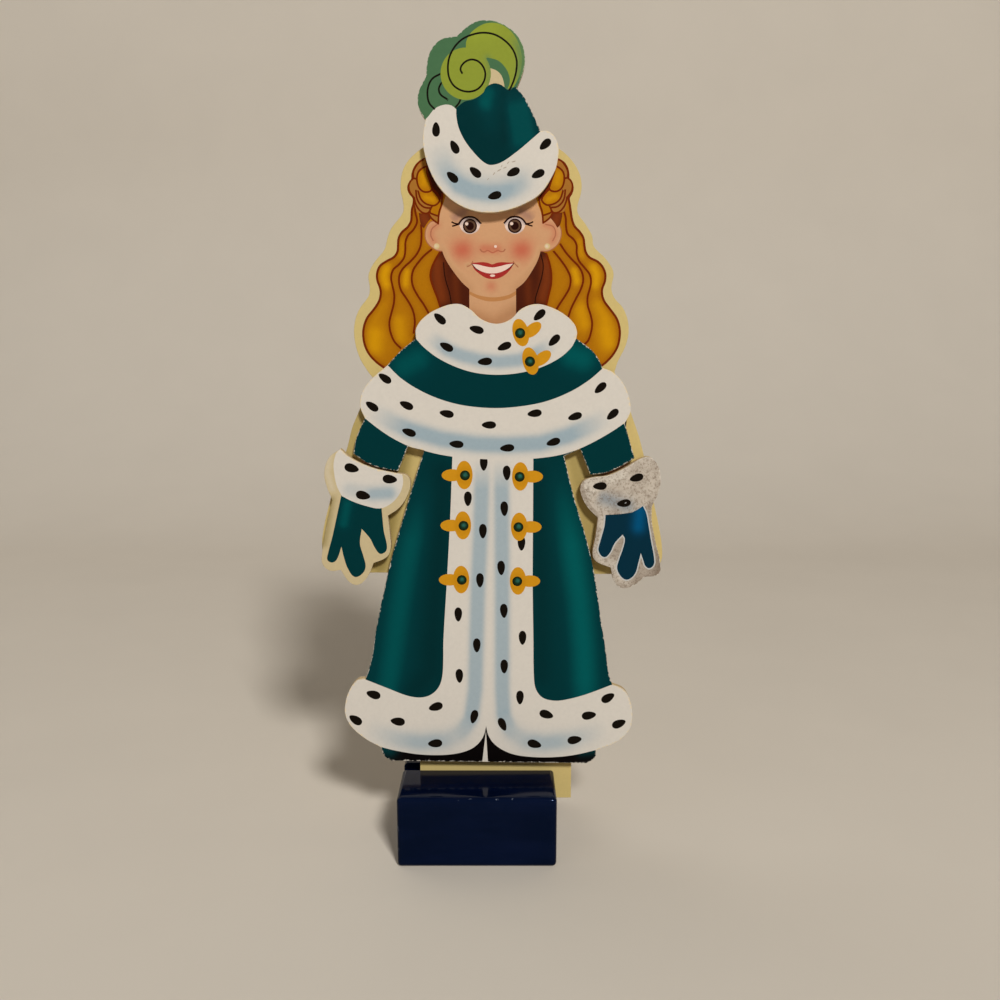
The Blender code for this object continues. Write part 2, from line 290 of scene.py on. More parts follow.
def finish_surface(tree, sockets, height=None, strength=0.0, depth=0.0):
    """The shader that ends a material, bumped if a height is given. The bump's depth is in millimetres."""
    if height is not None:
        bump = add_node(tree, "Bump", {"Height": height, "Strength": strength, "Distance": depth * MM})
        sockets = {**sockets, "Normal": bump}
    add_node(tree, "OutputMaterial", {"Surface": add_node(tree, "BsdfPrincipled", sockets)})


def worn_through(tree, surface, bare, crumbs, spread, width, soft, strength):
    """Chips at a worn edge, where the crumbs of a noise reach further in than the edge is away. Spread is the
    part of the noise that chips, width the deepest chip and soft the blur of its border, in millimetres."""
    rim = add_node(tree, "Attribute", out="Fac", attribute_name="rim")
    reach = add_node(tree, "MapRange", [crumbs, *spread, 0.0, width])
    depth = add_node(tree, "Math", [reach, rim], operation="SUBTRACT")
    chip = add_node(tree, "MapRange", [depth, *soft, 0.0, strength])
    return add_node(tree, "Mix", {"Factor": chip, 6: surface, 7: rgba(bare)}, 2, data_type="RGBA")


def printed_ink(name, tones, paper, chips, grime, soiling):
    """Offset ink on glued paper under satin varnish: soft shading, faint mottle, fibres, chips at the cut
    edge, and on a rubbed piece a cloud of grime with fine dark specks."""
    material, tree, place = new_material(name)
    tone = add_node(tree, "Attribute", out="Fac", attribute_name="tone")
    ramp = add_node(tree, "ValToRGB", [tone], stops=list(zip((0.0, 0.5, 1.0), tones)))
    mottle = add_node(tree, "TexNoise", {"Vector": place, "Scale": grain(0.9), "Detail": 3.0})
    strength = add_node(tree, "MapRange", [mottle, 0.3, 0.7, 0.98, 1.02])
    surface = add_node(tree, "VectorMath", {0: ramp, "Scale": strength}, operation="SCALE")
    if soiling:
        spots = []
        for size, detail, low, high in [(3.5, 4.0, 0.42, 0.75), (0.6, 3.0, 0.5, 0.62)]:
            dirt = add_node(tree, "TexNoise", {"Vector": place, "Scale": grain(size), "Detail": detail,
                                               "Roughness": 0.7})
            spots.append(add_node(tree, "MapRange", [dirt, low, high, 0.0, 0.7 * soiling]))
        amount = add_node(tree, "Math", spots, operation="ADD", use_clamp=True)
        surface = add_node(tree, "Mix", {"Factor": amount, 6: surface, 7: rgba(grime)}, 2, data_type="RGBA")
    crumbs = add_node(tree, "TexNoise", {"Vector": place, "Scale": grain(0.8), "Detail": 4.0,
                                         "Roughness": 0.75})
    chipped = worn_through(tree, surface, paper, crumbs, spread=(0.46, 0.76), width=chips, soft=(0.03, 0.12),
                           strength=0.75)
    # Real fibres are finer, and are drawn as coarse as they need to show
    fibres = add_node(tree, "TexNoise", {"Vector": place, "Scale": grain(0.35), "Detail": 2.0})
    gloss = add_node(tree, "MapRange", [mottle, 0.3, 0.7, 0.3, 0.38])
    finish_surface(tree, {"Base Color": chipped, "Roughness": gloss, "IOR": 1.5, "Specular IOR Level": 0.03},
                   fibres, strength=0.05, depth=0.05)
    return material


def cut_paper(colours):
    """Cut edge of glued paper: off-white fibres, a little dirty."""
    material, tree, place = new_material("cut_paper_edge")
    dust = add_node(tree, "TexNoise", {"Vector": place, "Scale": grain(1.2), "Detail": 4.0})
    ramp = add_node(tree, "ValToRGB", [dust], stops=[(0.35, colours.border_shade_and_grime), (0.65, colours.paper)])
    finish_surface(tree, {"Base Color": ramp, "Roughness": 0.8, "Specular IOR Level": 0.2}, dust,
                   strength=0.2, depth=0.05)
    return material


def sawn_plywood(colours, front, back):
    """Three-ply birch: long pale grain on the faces, and a darker band of end grain along the sawn sides."""
    material, tree, place = new_material("sawn_birch_plywood")
    stretch = add_node(tree, "VectorMath", [place, (grain(0.8), grain(0.8), grain(16.0))],
                       operation="MULTIPLY")
    fibre = add_node(tree, "TexNoise", {"Vector": stretch, "Scale": 1.0, "Detail": 5.0, "Distortion": 0.6})
    ramp = add_node(tree, "ValToRGB", [fibre], stops=[(0.3, colours.wood_dark), (0.62, colours.wood)])
    depth = add_node(tree, "SeparateXYZ", [place], "Y")
    middle = add_node(tree, "Math", [depth, (front + back) / 2], operation="SUBTRACT")
    off_middle = add_node(tree, "Math", [middle], operation="ABSOLUTE")
    half_ply = (back - front) / 6
    cross = add_node(tree, "MapRange", [off_middle, half_ply, half_ply * 1.15, 0.75, 0.0])
    layered = add_node(tree, "Mix", {"Factor": cross, 6: ramp, 7: rgba(colours.ply_dark)}, 2,
                       data_type="RGBA")
    finish_surface(tree, {"Base Color": layered, "Roughness": 0.62, "Specular IOR Level": 0.3}, fibre,
                   strength=0.25, depth=0.1)
    return material


def painted_wood(name, paint, thin, bare, tint, streak, roughness, gloss, peel, chip_width):
    """Sprayed paint on wood: an even colour that is thinner along the grain below, with a slight orange peel,
    worn through in small chips at the edges. Streak is the grain's size in millimetres along x, y and z."""
    material, tree, place = new_material(name)
    stretch = add_node(tree, "VectorMath", [place, tuple(grain(size) for size in streak)],
                       operation="MULTIPLY")
    cloud = add_node(tree, "TexNoise", {"Vector": stretch, "Scale": 1.0, "Detail": 4.0})
    ramp = add_node(tree, "ValToRGB", [cloud], stops=[(0.4, paint), (0.8, thin)])
    crumbs = add_node(tree, "TexNoise", {"Vector": place, "W": 2.0, "Scale": grain(2.0), "Detail": 5.0,
                                         "Roughness": 0.7}, noise_dimensions="4D")
    chipped = worn_through(tree, ramp, bare, crumbs, spread=(0.53, 0.8), width=chip_width, soft=(0.02, 0.1),
                           strength=1.0)
    skin = add_node(tree, "TexNoise", {"Vector": place, "Scale": grain(1.6), "Detail": 2.0})
    finish_surface(tree, {"Base Color": chipped, "Roughness": roughness, "Specular IOR Level": gloss,
                          "Specular Tint": rgba(tint)}, skin, strength=peel, depth=0.1)
    return material


def inlay_material(name, base, metallic, roughness, mark):
    """Pressed ferrite or stamped steel: grit, and faint rubbed marks that catch the light."""
    material, tree, place = new_material(name)
    # Real grit is finer, and is drawn as coarse as it needs to show
    grit = add_node(tree, "TexNoise", {"Vector": place, "Scale": grain(0.5), "Detail": 4.0})
    tint = add_node(tree, "MapRange", [grit, 0.3, 0.7, 1.0 - mark, 1.0 + mark])
    toned = add_node(tree, "VectorMath", {0: base, "Scale": tint}, operation="SCALE")
    rub = add_node(tree, "TexNoise", {"Vector": place, "Scale": grain(4.0), "Detail": 3.0})
    gloss = add_node(tree, "MapRange", [rub, 0.35, 0.65, roughness - 0.1, roughness + 0.1])
    finish_surface(tree, {"Base Color": toned, "Metallic": metallic, "Roughness": gloss}, grit, strength=0.15,
                   depth=0.05)
    return material


def backdrop_paper(floor):
    """Matt background paper: an even pale tone with a hardly visible cloudiness."""
    material, tree, place = new_material("matt_paper_backdrop")
    cloud = add_node(tree, "TexNoise", {"Vector": place, "Scale": grain(60.0), "Detail": 3.0})
    tint = add_node(tree, "MapRange", [cloud, 0.0, 1.0, 0.97, 1.03])
    toned = add_node(tree, "VectorMath", {0: floor, "Scale": tint}, operation="SCALE")
    finish_surface(tree, {"Base Color": toned, "Roughness": 0.7, "Specular IOR Level": 0.2})
    return material


# Shade, base and light of each ink, by the name of its colour
INKS = {
    "ermine": ("fur_shade", "fur", "paper"),
    "worn_ermine": ("worn_blue", "worn_fur", "paper"),
    "worn_border": ("worn_dirt", "worn_fur", "paper"),
    "teal": ("cloth_dark", "cloth", "cloth_light"),
    "blue": ("blue_dark", "blue_cloth", "blue_light"),
    "plume": ("plume_edge", "plume", "plume_light"),
    "back_plume": ("plume_back", "plume_back", "plume_edge"),
    "gold": ("gold_dark", "gold", "gold"),
    "jewel": ("black", "jewel", "jewel_light"),
    "black": ("black", "black", "black"),
    "lining": ("lining", "lining", "cloth"),
    "border": ("border_shade_and_grime", "border", "border"),
    "glove_border": ("border_shade_and_grime", "pale_border", "paper"),
    "lid": ("lid", "skin", "skin"),
    "hair": ("hair_dark", "hair", "hair_light"),
    "hair_line": ("hair_line", "hair_line", "hair_dark"),
    "deep_hair": ("hair_line", "hair_deep", "hair_deep_light"),
    "braid": ("hair_dark", "braid", "hair_light"),
    "skin": ("skin_shade", "skin", "blush"),
    "neck": ("skin_shade", "neck", "skin"),
    "crease": ("crease", "crease", "blush"),
    "pearl": ("skin_shade", "border", "white"),
    "scuff": ("worn_dirt", "worn_fur", "worn_fur"),
    "lip": ("lip_dark", "lip", "white"),
    "white": ("slip_shade", "white", "paper"),
    "iris": ("pupil", "iris", "iris"),
    "pupil": ("pupil", "pupil", "pupil"),
    "slip": ("slip_shade", "slip", "paper"),
}

# Inks that are soiled all over, and how much
WORN_INKS = {"worn_ermine": 0.7, "worn_border": 0.7}

# How deep the chips at the cut edge are, in millimetres, where that differs from the usual depth
USUAL_CHIPS = 0.4
CHIPPED_INKS = {"plume": 0.25, "back_plume": 0.3, "lining": 0.7, "border": 0.12, "glove_border": 0.15,
                "teal": 0.45, "ermine": 0.9}


def ink_material(ink, colours):
    """The material of one ink, made once. What follows a stroke only names the area that the ink shades."""
    ink = ink.split("/")[0]
    name = "print_" + ink
    tones = [getattr(colours, key) for key in INKS[ink]]
    bare = colours.cream_edge if ink == "ermine" else colours.paper
    return bpy.data.materials.get(name) or printed_ink(
        name, tones, bare, CHIPPED_INKS.get(ink, USUAL_CHIPS), colours.worn_dirt, WORN_INKS.get(ink, 0.0))


# Plane shapes, in millimetres

def smooth_path(points, step, closed):
    """Points along a smooth curve through the given points, straight into and out of a corner."""
    places = np.array([point[:2] for point in points], float)
    corners = [len(point) > 2 for point in points]
    count = len(points)
    path = []
    for here in range(count if closed else count - 1):
        after = (here + 1) % count
        start, end = places[here], places[after]
        span = end - start
        gap = np.linalg.norm(span)
        first = not closed and here == 0
        last = not closed and after == count - 1
        leaving = span if corners[here] or first else end - places[here - 1]
        arriving = span if corners[after] or last else places[(after + 1) % count] - start
        straight = leaving is span and arriving is span
        pieces = math.ceil(gap / (step * STRAIGHT_STEP)) if straight else max(2, math.ceil(gap / step))
        pull_out = leaving / np.linalg.norm(leaving) * gap
        pull_in = arriving / np.linalg.norm(arriving) * gap
        for piece in range(pieces):
            t = piece / pieces
            path.append((2 * t**3 - 3 * t**2 + 1) * start + (t**3 - 2 * t**2 + t) * pull_out
                        + (3 * t**2 - 2 * t**3) * end + (t**3 - t**2) * pull_in)
    if not closed:
        path.append(places[-1])
    return np.array(path)


def turned(path, x, z, angle):
    """A path turned by an angle in degrees and moved to a place."""
    c, s = math.cos(math.radians(angle)), math.sin(math.radians(angle))
    return path @ np.array([[c, s], [-s, c]]) + np.array([x, z])


def oval(x, z, half_wide, half_tall, angle=0.0, egg=0.0, points=28):
    """An ellipse, or an egg whose broad end lies along its angle."""
    t = np.linspace(0, 2 * math.pi, points, endpoint=False)
    path = np.stack([half_wide * np.cos(t), half_tall * np.sin(t) * (1 + egg * np.cos(t))], 1)
    return turned(path, x, z, angle)


def outward(loop):
    """Mitred outward normals of a closed counter-clockwise loop."""
    def side(step):
        lengths = np.maximum(np.linalg.norm(step, axis=1), TINY)
        return np.stack([step[:, 1], -step[:, 0]], 1) / lengths[:, None]

    behind = side(loop - np.roll(loop, 1, 0))
    ahead = side(np.roll(loop, -1, 0) - loop)
    spread = np.maximum(1 + (behind * ahead).sum(1), LEAST_SPREAD)
    return (behind + ahead) / spread[:, None]


def stroke_outline(path, width):
    """The outline of a line of the given width, with blunt ends."""
    way = np.gradient(path, axis=0)
    way /= np.maximum(np.linalg.norm(way, axis=1), TINY)[:, None]
    side = np.stack([-way[:, 1], way[:, 0]], 1) * width / 2
    return np.concatenate([path + side, (path - side)[::-1]])


def inside(loop, points):
    """Which points lie inside a closed loop."""
    low, high = loop.min(0), loop.max(0)
    near = ((points >= low) & (points <= high)).all(1)
    found = np.zeros(len(points), bool)
    x, z = points[near, 0], points[near, 1]
    odd = np.zeros(len(x), bool)
    for (ax, az), (bx, bz) in zip(loop, np.roll(loop, -1, 0)):
        if az != bz:
            crossing = ((az > z) != (bz > z)) & (x < (bx - ax) * (z - az) / (bz - az) + ax)
            odd ^= crossing
    found[near] = odd
    return found


def distance(points, path):
    """Distance from each point to a path, and how far from the path's nearer end that is."""
    path = np.asarray(path, float)
    if len(path) == 1:
        return np.linalg.norm(points - path[0], axis=1), np.full(len(points), np.inf)
    gaps = np.linalg.norm(np.diff(path, axis=0), axis=1)
    best, place, reached = np.full(len(points), np.inf), np.zeros(len(points)), 0.0
    for start, end, gap in zip(path[:-1], path[1:], gaps):
        span = end - start
        along = np.clip((points - start) @ span / max(span @ span, TINY), 0, 1)
        away = np.linalg.norm(points - start - along[:, None] * span, axis=1)
        closer = away < best
        best[closer] = away[closer]
        place[closer] = reached + along[closer] * gap
        reached += gap
    return best, np.minimum(place, reached - place)


class Picture:
    """A print's shapes in the order that they are laid down, and the soft lights and shades on each ink."""

    def __init__(self, ground, step):
        self.ground = ground
        self.step = step
        self.layers = []
        self.glows = []

    def shape(self, ink, *points):
        """A closed shape with smooth sides."""
        self.layers.append((ink, smooth_path(points, self.step, True), None, 0.0))

    def oval(self, ink, *values, **more):
        """An ellipse or an egg."""
        self.layers.append((ink, oval(*values, **more), None, 0.0))

    def line(self, ink, width, points, shade=0.0, spread=0.8):
        """A drawn line, with a soft shade beside it on the hair if one is given."""
        path = smooth_path(points, self.step, False)
        self.layers.append((ink, stroke_outline(path, width), path, width / 2))
        if shade:
            self.glow("hair", shade, spread, *points)

    def tails(self, half_long, half_wide, *places):
        """Black ermine tails. Each has a place and the direction of its broad end."""
        for x, z, angle in places:
            self.oval("black", x, z, half_long, half_wide, angle, egg=0.22)

    def glow(self, ink, strength, spread, *points, flat=0.0, fade=0.0):
        """A soft light, or a shade if it is negative, along a line or around a point. It is even for a flat
        width on each side, and fades out towards the ends of the line."""
        path = np.array([point[:2] for point in points], float)
        self.glows.append((ink, strength, spread, flat, fade, path))

    def tone(self, ink, points):
        """How light an ink is at each point: 0 is its shade, 0.5 its base and 1 its light."""
        total = np.full(len(points), 0.5)
        for name, strength, spread, flat, fade, path in self.glows:
            if name == ink:
                away, from_end = distance(points, path)
                strength_here = strength * np.clip(from_end / fade, 0, 1) if fade else strength
                total += strength_here * np.exp(-0.5 * (np.maximum(away - flat, 0.0) / spread) ** 2)
        return np.clip(total, 0.0, 1.0)

    def printed(self, points):
        """The inks in use, and the number of the one that lies on top at each point."""
        inks = [self.ground]
        top = np.zeros(len(points), int)
        for ink, path, spine, half_width in self.layers:
            if ink not in inks:
                inks.append(ink)
            if spine is None:
                top[inside(path, points)] = inks.index(ink)
            else:
                near = np.flatnonzero(((points > path.min(0)) & (points < path.max(0))).all(1))
                top[near[distance(points[near], spine)[0] < half_width]] = inks.index(ink)
        return inks, top


# Meshes

def front_loop(node):
    """The outline of a node's front face in millimetres, counter-clockwise as seen from the front."""
    mesh = frame["nodes"][node].data
    front = min(v.co.y for v in mesh.vertices)
    edges = set()
    for face in mesh.polygons:
        corners = [mesh.vertices[i].co for i in face.vertices]
        if max(c.y for c in corners) < front + TOUCH:
            keys = [(round(c.x / MM, 3), round(c.z / MM, 3)) for c in corners]
            edges.update(zip(keys, keys[1:] + keys[:1]))
    after = {a: b for a, b in edges if (b, a) not in edges}
    loop = [min(after)]
    while after[loop[-1]] != loop[0]:
        loop.append(after[loop[-1]])
    return refined(np.array(loop))


def refined(loop):
    """The loop with a smooth point added on each side, except beside corners and where a long side meets a
    short one."""
    most_uneven, least_straight, bow_share = 2.2, 0.85, 1 / 16
    step = np.roll(loop, -1, 0) - loop
    before, after = np.roll(step, 1, 0), np.roll(step, -1, 0)
    gap, gap_before = np.linalg.norm(step, axis=1), np.linalg.norm(before, axis=1)
    even = np.maximum(gap, gap_before) < most_uneven * np.minimum(gap, gap_before)
    soft = even & ((step * before).sum(1) > least_straight * gap * gap_before)
    bow = np.where((soft & np.roll(soft, -1))[:, None], before - after, 0.0) * bow_share
    return np.stack([loop, loop + step / 2 + bow], 1).reshape(-1, 2)


def ring_faces(first, second):
    """Quads between two closed rings of vertex numbers."""
    count = len(first)
    return [(first[(i + 1) % count], first[i], second[i], second[(i + 1) % count]) for i in range(count)]


def make_piece(name, points, faces, materials, indices=None, smooth_angle=None):
    """An object from points in metres, with its materials."""
    mesh = bpy.data.meshes.new(name)
    mesh.from_pydata([tuple(p) for p in points], [], faces)
    for material in materials:
        mesh.materials.append(material)
    if indices is not None:
        mesh.polygons.foreach_set("material_index", indices)
    if smooth_angle:
        mesh.shade_smooth()
        mesh.set_sharp_from_angle(angle=math.radians(smooth_angle))
    mesh.validate()
    piece = bpy.data.objects.new(name, mesh)
    bpy.context.scene.collection.objects.link(piece)
    return piece


def settle(piece, body, slot, *nodes):
    """The piece moves with its body and stands for its nodes, which it hides."""
    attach(piece, body)
    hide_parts(*nodes)


def set_attribute(piece, name, values, domain="POINT"):
    """A number on each point or corner of a piece, for its material."""
    attribute = piece.data.attributes.new(name, "FLOAT", domain)
    attribute.data.foreach_set("value", np.asarray(values, np.float32))


def border_chains(triangles):
    """The border of a sheet of triangles, as rings of vertex numbers."""
    edges = {(t[i], t[(i + 1) % 3]) for t in triangles for i in range(3)}
    after = {a: b for a, b in edges if (b, a) not in edges}
    chains = []
    while after:
        start = min(after)
        chain = [start]
        here = after.pop(start)
        while here != start:
            chain.append(here)
            here = after.pop(here)
        chains.append(chain)
    return chains


def shading_grid(loop, gap):
    """Staggered points inside a loop."""
    low, high = loop.min(0), loop.max(0)
    rows = []
    for row, z in enumerate(np.arange(low[1], high[1], gap * ROW_GAP)):
        x = np.arange(low[0] + (row % 2) * gap / 2, high[0], gap)
        rows.append(np.stack([x, np.full(len(x), z)], 1))
    points = np.concatenate(rows)
    return points[inside(loop, points)]


def cut_sheet(outline, picture, gap):
    """The points and triangles of a sheet that is cut along the border of every printed shape."""
    points, edges = [], []
    for path in [outline] + [layer[1] for layer in picture.layers]:
        start, count = len(points), len(path)
        points += [Vector(p) for p in path]
        edges += [(start + i, start + (i + 1) % count) for i in range(count)]
    points += [Vector(p) for p in shading_grid(outline, gap)]
    cut = delaunay_2d_cdt(points, edges, [], 0, SHEET_MERGE, False)
    places = np.array([tuple(p) for p in cut[0]])
    triangles = np.array([f for f in cut[2] if len(f) == 3])
    triangles = triangles[inside(outline, places[triangles].mean(1))]
    used, flat = np.unique(triangles, return_inverse=True)
    return places[used], flat.reshape(-1, 3)


def printed_sheet(node, picture, sizes, colours):
    """A glued print: the picture cut out along the node's outline, with a small rounded rim. It reaches back
    through its glue to the board."""
    rim, front = sizes.print_rim / MM, PRINT_FRONT[node]
    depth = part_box(node.replace("_print", "_board"))[0].y - front
    outline = front_loop(node)
    inner = outline - rim * outward(outline)
    places, triangles = cut_sheet(inner, picture, sizes.print_grid / MM)
    inks, top = picture.printed(places[triangles].mean(1))
    tones = np.stack([picture.tone(ink, places) for ink in inks])
    bare = len(inks)

    points = [(x * MM, front, z * MM) for x, z in places]
    faces, indices = triangles.tolist(), top.tolist()
    corner_tones = tones[top[:, None], triangles].ravel().tolist()
    ink_beside = {(face[i], face[(i + 1) % 3]): ink for face, ink in zip(faces, indices) for i in range(3)}
    steps = [(math.sin(a) * rim, (1 - math.cos(a)) * rim * MM) for a in (math.pi / 4, math.pi / 2)]
    steps.append((rim, depth))
    for chain in border_chains(faces):
        loop = places[chain]
        away = outward(loop)
        rings = [chain]
        for out, back in steps:
            rings.append(list(range(len(points), len(points) + len(chain))))
            points += [(x * MM, front + back, z * MM) for x, z in loop + out * away]
        for level in range(len(steps)):
            faces += ring_faces(rings[level], rings[level + 1])
            for corner, ahead in zip(chain, chain[1:] + chain[:1]):
                ink = ink_beside[(corner, ahead)]
                indices.append(ink if level < len(steps) - 1 else bare)
                corner_tones += [tones[ink, i] for i in (ahead, corner, corner, ahead)]
        faces.append(rings[-1][::-1])
        indices.append(bare)
        corner_tones += [0.5] * len(chain)

    materials = [ink_material(ink, colours) for ink in inks]
    materials.append(bpy.data.materials.get("cut_paper_edge") or cut_paper(colours))
    piece = make_piece("printed_" + node.removesuffix("_print"), points, faces, materials, indices)
    set_attribute(piece, "tone", corner_tones, "CORNER")
    edge_gap = np.zeros(len(points))
    edge_gap[:len(places)] = distance(places, np.concatenate([inner, inner[:1]]))[0]
    set_attribute(piece, "rim", np.minimum(edge_gap, UNWORN))
    return piece


def eased_levels(front, back, radius):
    """Inset and depth of each ring of points along a side with two rounded edges."""
    turns = [math.pi / 2 * k / EDGE_STEPS for k in range(EDGE_STEPS + 1)]
    edge = [(radius * (1 - math.sin(a)), radius * (1 - math.cos(a))) for a in turns]
    near = [(inset, front + deep) for inset, deep in edge]
    return near + [(inset, back - deep) for inset, deep in edge[::-1]]


def cap_faces(points, ring, holes, flip):
    """Triangles that fill a ring of points, apart from its holes."""
    numbers = [i for group in [ring, *holes] for i in group]
    edges = []
    start = 0
    for group in [ring, *holes]:
        edges += [(start + i, start + (i + 1) % len(group)) for i in range(len(group))]
        start += len(group)
    cut = delaunay_2d_cdt([Vector(points[i]) for i in numbers], edges, [], 0, CAP_MERGE, True)
    back = [source[0] for source in cut[3]]
    triangles = np.array(cut[2])
    centres = np.array([tuple(p) for p in cut[0]])[triangles].mean(1)
    keep = inside(np.array([points[i] for i in ring]), centres)
    for hole in holes:
        keep &= ~inside(np.array([points[i] for i in hole]), centres)
    faces = [tuple(numbers[back[i]] for i in t) for t in triangles[keep]]
    return [face[::-1] for face in faces] if flip else faces


def sawn_board(name, node, sizes, inlays, material):
    """A sawn board with eased edges and a round pocket for each of its inlays."""
    low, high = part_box(node)
    front, back = low.y / MM, high.y / MM
    outline = front_loop(node.replace("_board", "_print"))
    away = outward(outline)
    levels = eased_levels(front, back, sizes.board_edge / MM)
    levels.insert(len(levels) // 2, (0.0, (front + back) / 2))
    plane, depths, rings = [], [], []
    for inset, y in levels:
        rings.append(list(range(len(plane), len(plane) + len(outline))))
        plane += (outline - inset * away).tolist()
        depths += [y] * len(outline)
    faces = []
    for first, second in zip(rings[:-1], rings[1:]):
        faces += ring_faces(first, second)
    side_count = len(faces)
    mouths = {True: [], False: []}
    for inlay in inlays:
        disc_low, disc_high = (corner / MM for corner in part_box(inlay))
        at_back = abs(disc_high.y - back) < abs(disc_low.y - front)
        reach = (disc_high.x - disc_low.x) / 2 + sizes.pocket_gap / MM
        circle = oval((disc_low.x + disc_high.x) / 2, (disc_low.z + disc_high.z) / 2, reach, reach,
                      points=POCKET_SIDES)
        floor = disc_low.y - POCKET_ROOM if at_back else disc_high.y + POCKET_ROOM
        mouth = list(range(len(plane), len(plane) + POCKET_SIDES))
        bottom = [i + POCKET_SIDES for i in mouth]
        plane += circle.tolist() * 2
        depths += [back if at_back else front] * POCKET_SIDES + [floor] * POCKET_SIDES
        mouths[at_back].append(mouth)
        faces += ring_faces(mouth, bottom) if at_back else ring_faces(bottom, mouth)
        faces.append(bottom[::-1] if at_back else bottom)
    faces += cap_faces(plane, rings[0], mouths[False], False)
    faces += cap_faces(plane, rings[-1], mouths[True], True)
    points = [(x * MM, y * MM, z * MM) for (x, z), y in zip(plane, depths)]
    piece = make_piece(name, points, faces, [material], smooth_angle=SHARP_ANGLE)
    rim = []
    for number, face in enumerate(faces):
        rim += [min(depths[i] - front, back - depths[i]) if number < side_count else UNWORN for i in face]
    set_attribute(piece, "rim", rim, "CORNER")
    return piece


def coin(node, sizes, material):
    """A pressed disc with a rounded rim, set where its node is."""
    low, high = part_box(node)
    middle, radius = (low + high) / 2, (high.x - low.x) / 2
    circle = oval(0.0, 0.0, 1.0, 1.0, points=sizes.disc_sides)
    points, rings = [], []
    for inset, y in eased_levels(low.y, high.y, sizes.disc_edge):
        rings.append(list(range(len(points), len(points) + len(circle))))
        points += [(middle.x + x * (radius - inset), y, middle.z + z * (radius - inset)) for x, z in circle]
    faces = [rings[0], rings[-1][::-1]]
    for first, second in zip(rings[:-1], rings[1:]):
        faces += ring_faces(first, second)
    return make_piece("round_" + node, points, faces, [material], smooth_angle=SHARP_ANGLE)


def stand_block(sizes, material):
    """The stand: a solid block with softly rounded edges and a slot sawn from end to end."""
    low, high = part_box("stand_block")
    half_slot, floor = sizes.slot_width / 2, sizes.slot_floor
    profile = [(low.y, low.z), (high.y, low.z), (high.y, high.z), (half_slot, high.z), (half_slot, floor),
               (-half_slot, floor), (-half_slot, high.z), (low.y, high.z)]
    block = bmesh.new()
    ends = [[block.verts.new((x, y, z)) for y, z in profile] for x in (low.x, high.x)]
    for end in ends:
        block.faces.new(end)
    for i in range(len(profile)):
        block.faces.new((ends[0][i - 1], ends[0][i], ends[1][i], ends[1][i - 1]))
    bmesh.ops.recalc_face_normals(block, faces=block.faces[:])

    def in_slot(edge):
        return all(abs(v.co.y) < half_slot + TOUCH for v in edge.verts)

    outer = [edge for edge in block.edges if not in_slot(edge)]
    bmesh.ops.bevel(block, geom=outer, offset=sizes.stand_edge, segments=5, profile=0.5, affect="EDGES")
    mouth = [edge for edge in block.edges if in_slot(edge) and edge.calc_length() > (high.x - low.x) / 2
             and all(v.co.z > high.z - TOUCH for v in edge.verts)]
    bmesh.ops.bevel(block, geom=mouth, offset=sizes.slot_edge, segments=3, profile=0.5, affect="EDGES")
    # Points a little inside the edges, so that the worn paint stays close to them
    for axis in range(3):
        for place in (low[axis] + sizes.worn_band, high[axis] - sizes.worn_band):
            level, way = Vector(), Vector()
            level[axis], way[axis] = place, 1.0
            whole = [*block.verts, *block.edges, *block.faces]
            bmesh.ops.bisect_plane(block, geom=whole, plane_co=level, plane_no=way)
    # Sorted, because the bevel lists its points and faces in another order each time
    corners = sorted(block.verts, key=lambda v: tuple(v.co))
    points = [tuple(v.co) for v in corners]
    numbers = {v: number for number, v in enumerate(corners)}
    faces = [[numbers[v] for v in face.verts] for face in block.faces]
    faces.sort(key=lambda face: [points[i] for i in face])
    block.free()
    piece = make_piece("painted_stand_block", points, faces, [material], smooth_angle=SHARP_ANGLE)
    # The second smallest distance to a side is the distance to the nearest edge
    gaps = [sorted(min(p[axis] - low[axis], high[axis] - p[axis]) for axis in range(3)) for p in points]
    set_attribute(piece, "rim", [gap[1] / MM for gap in gaps])
    return piece


# Pictures

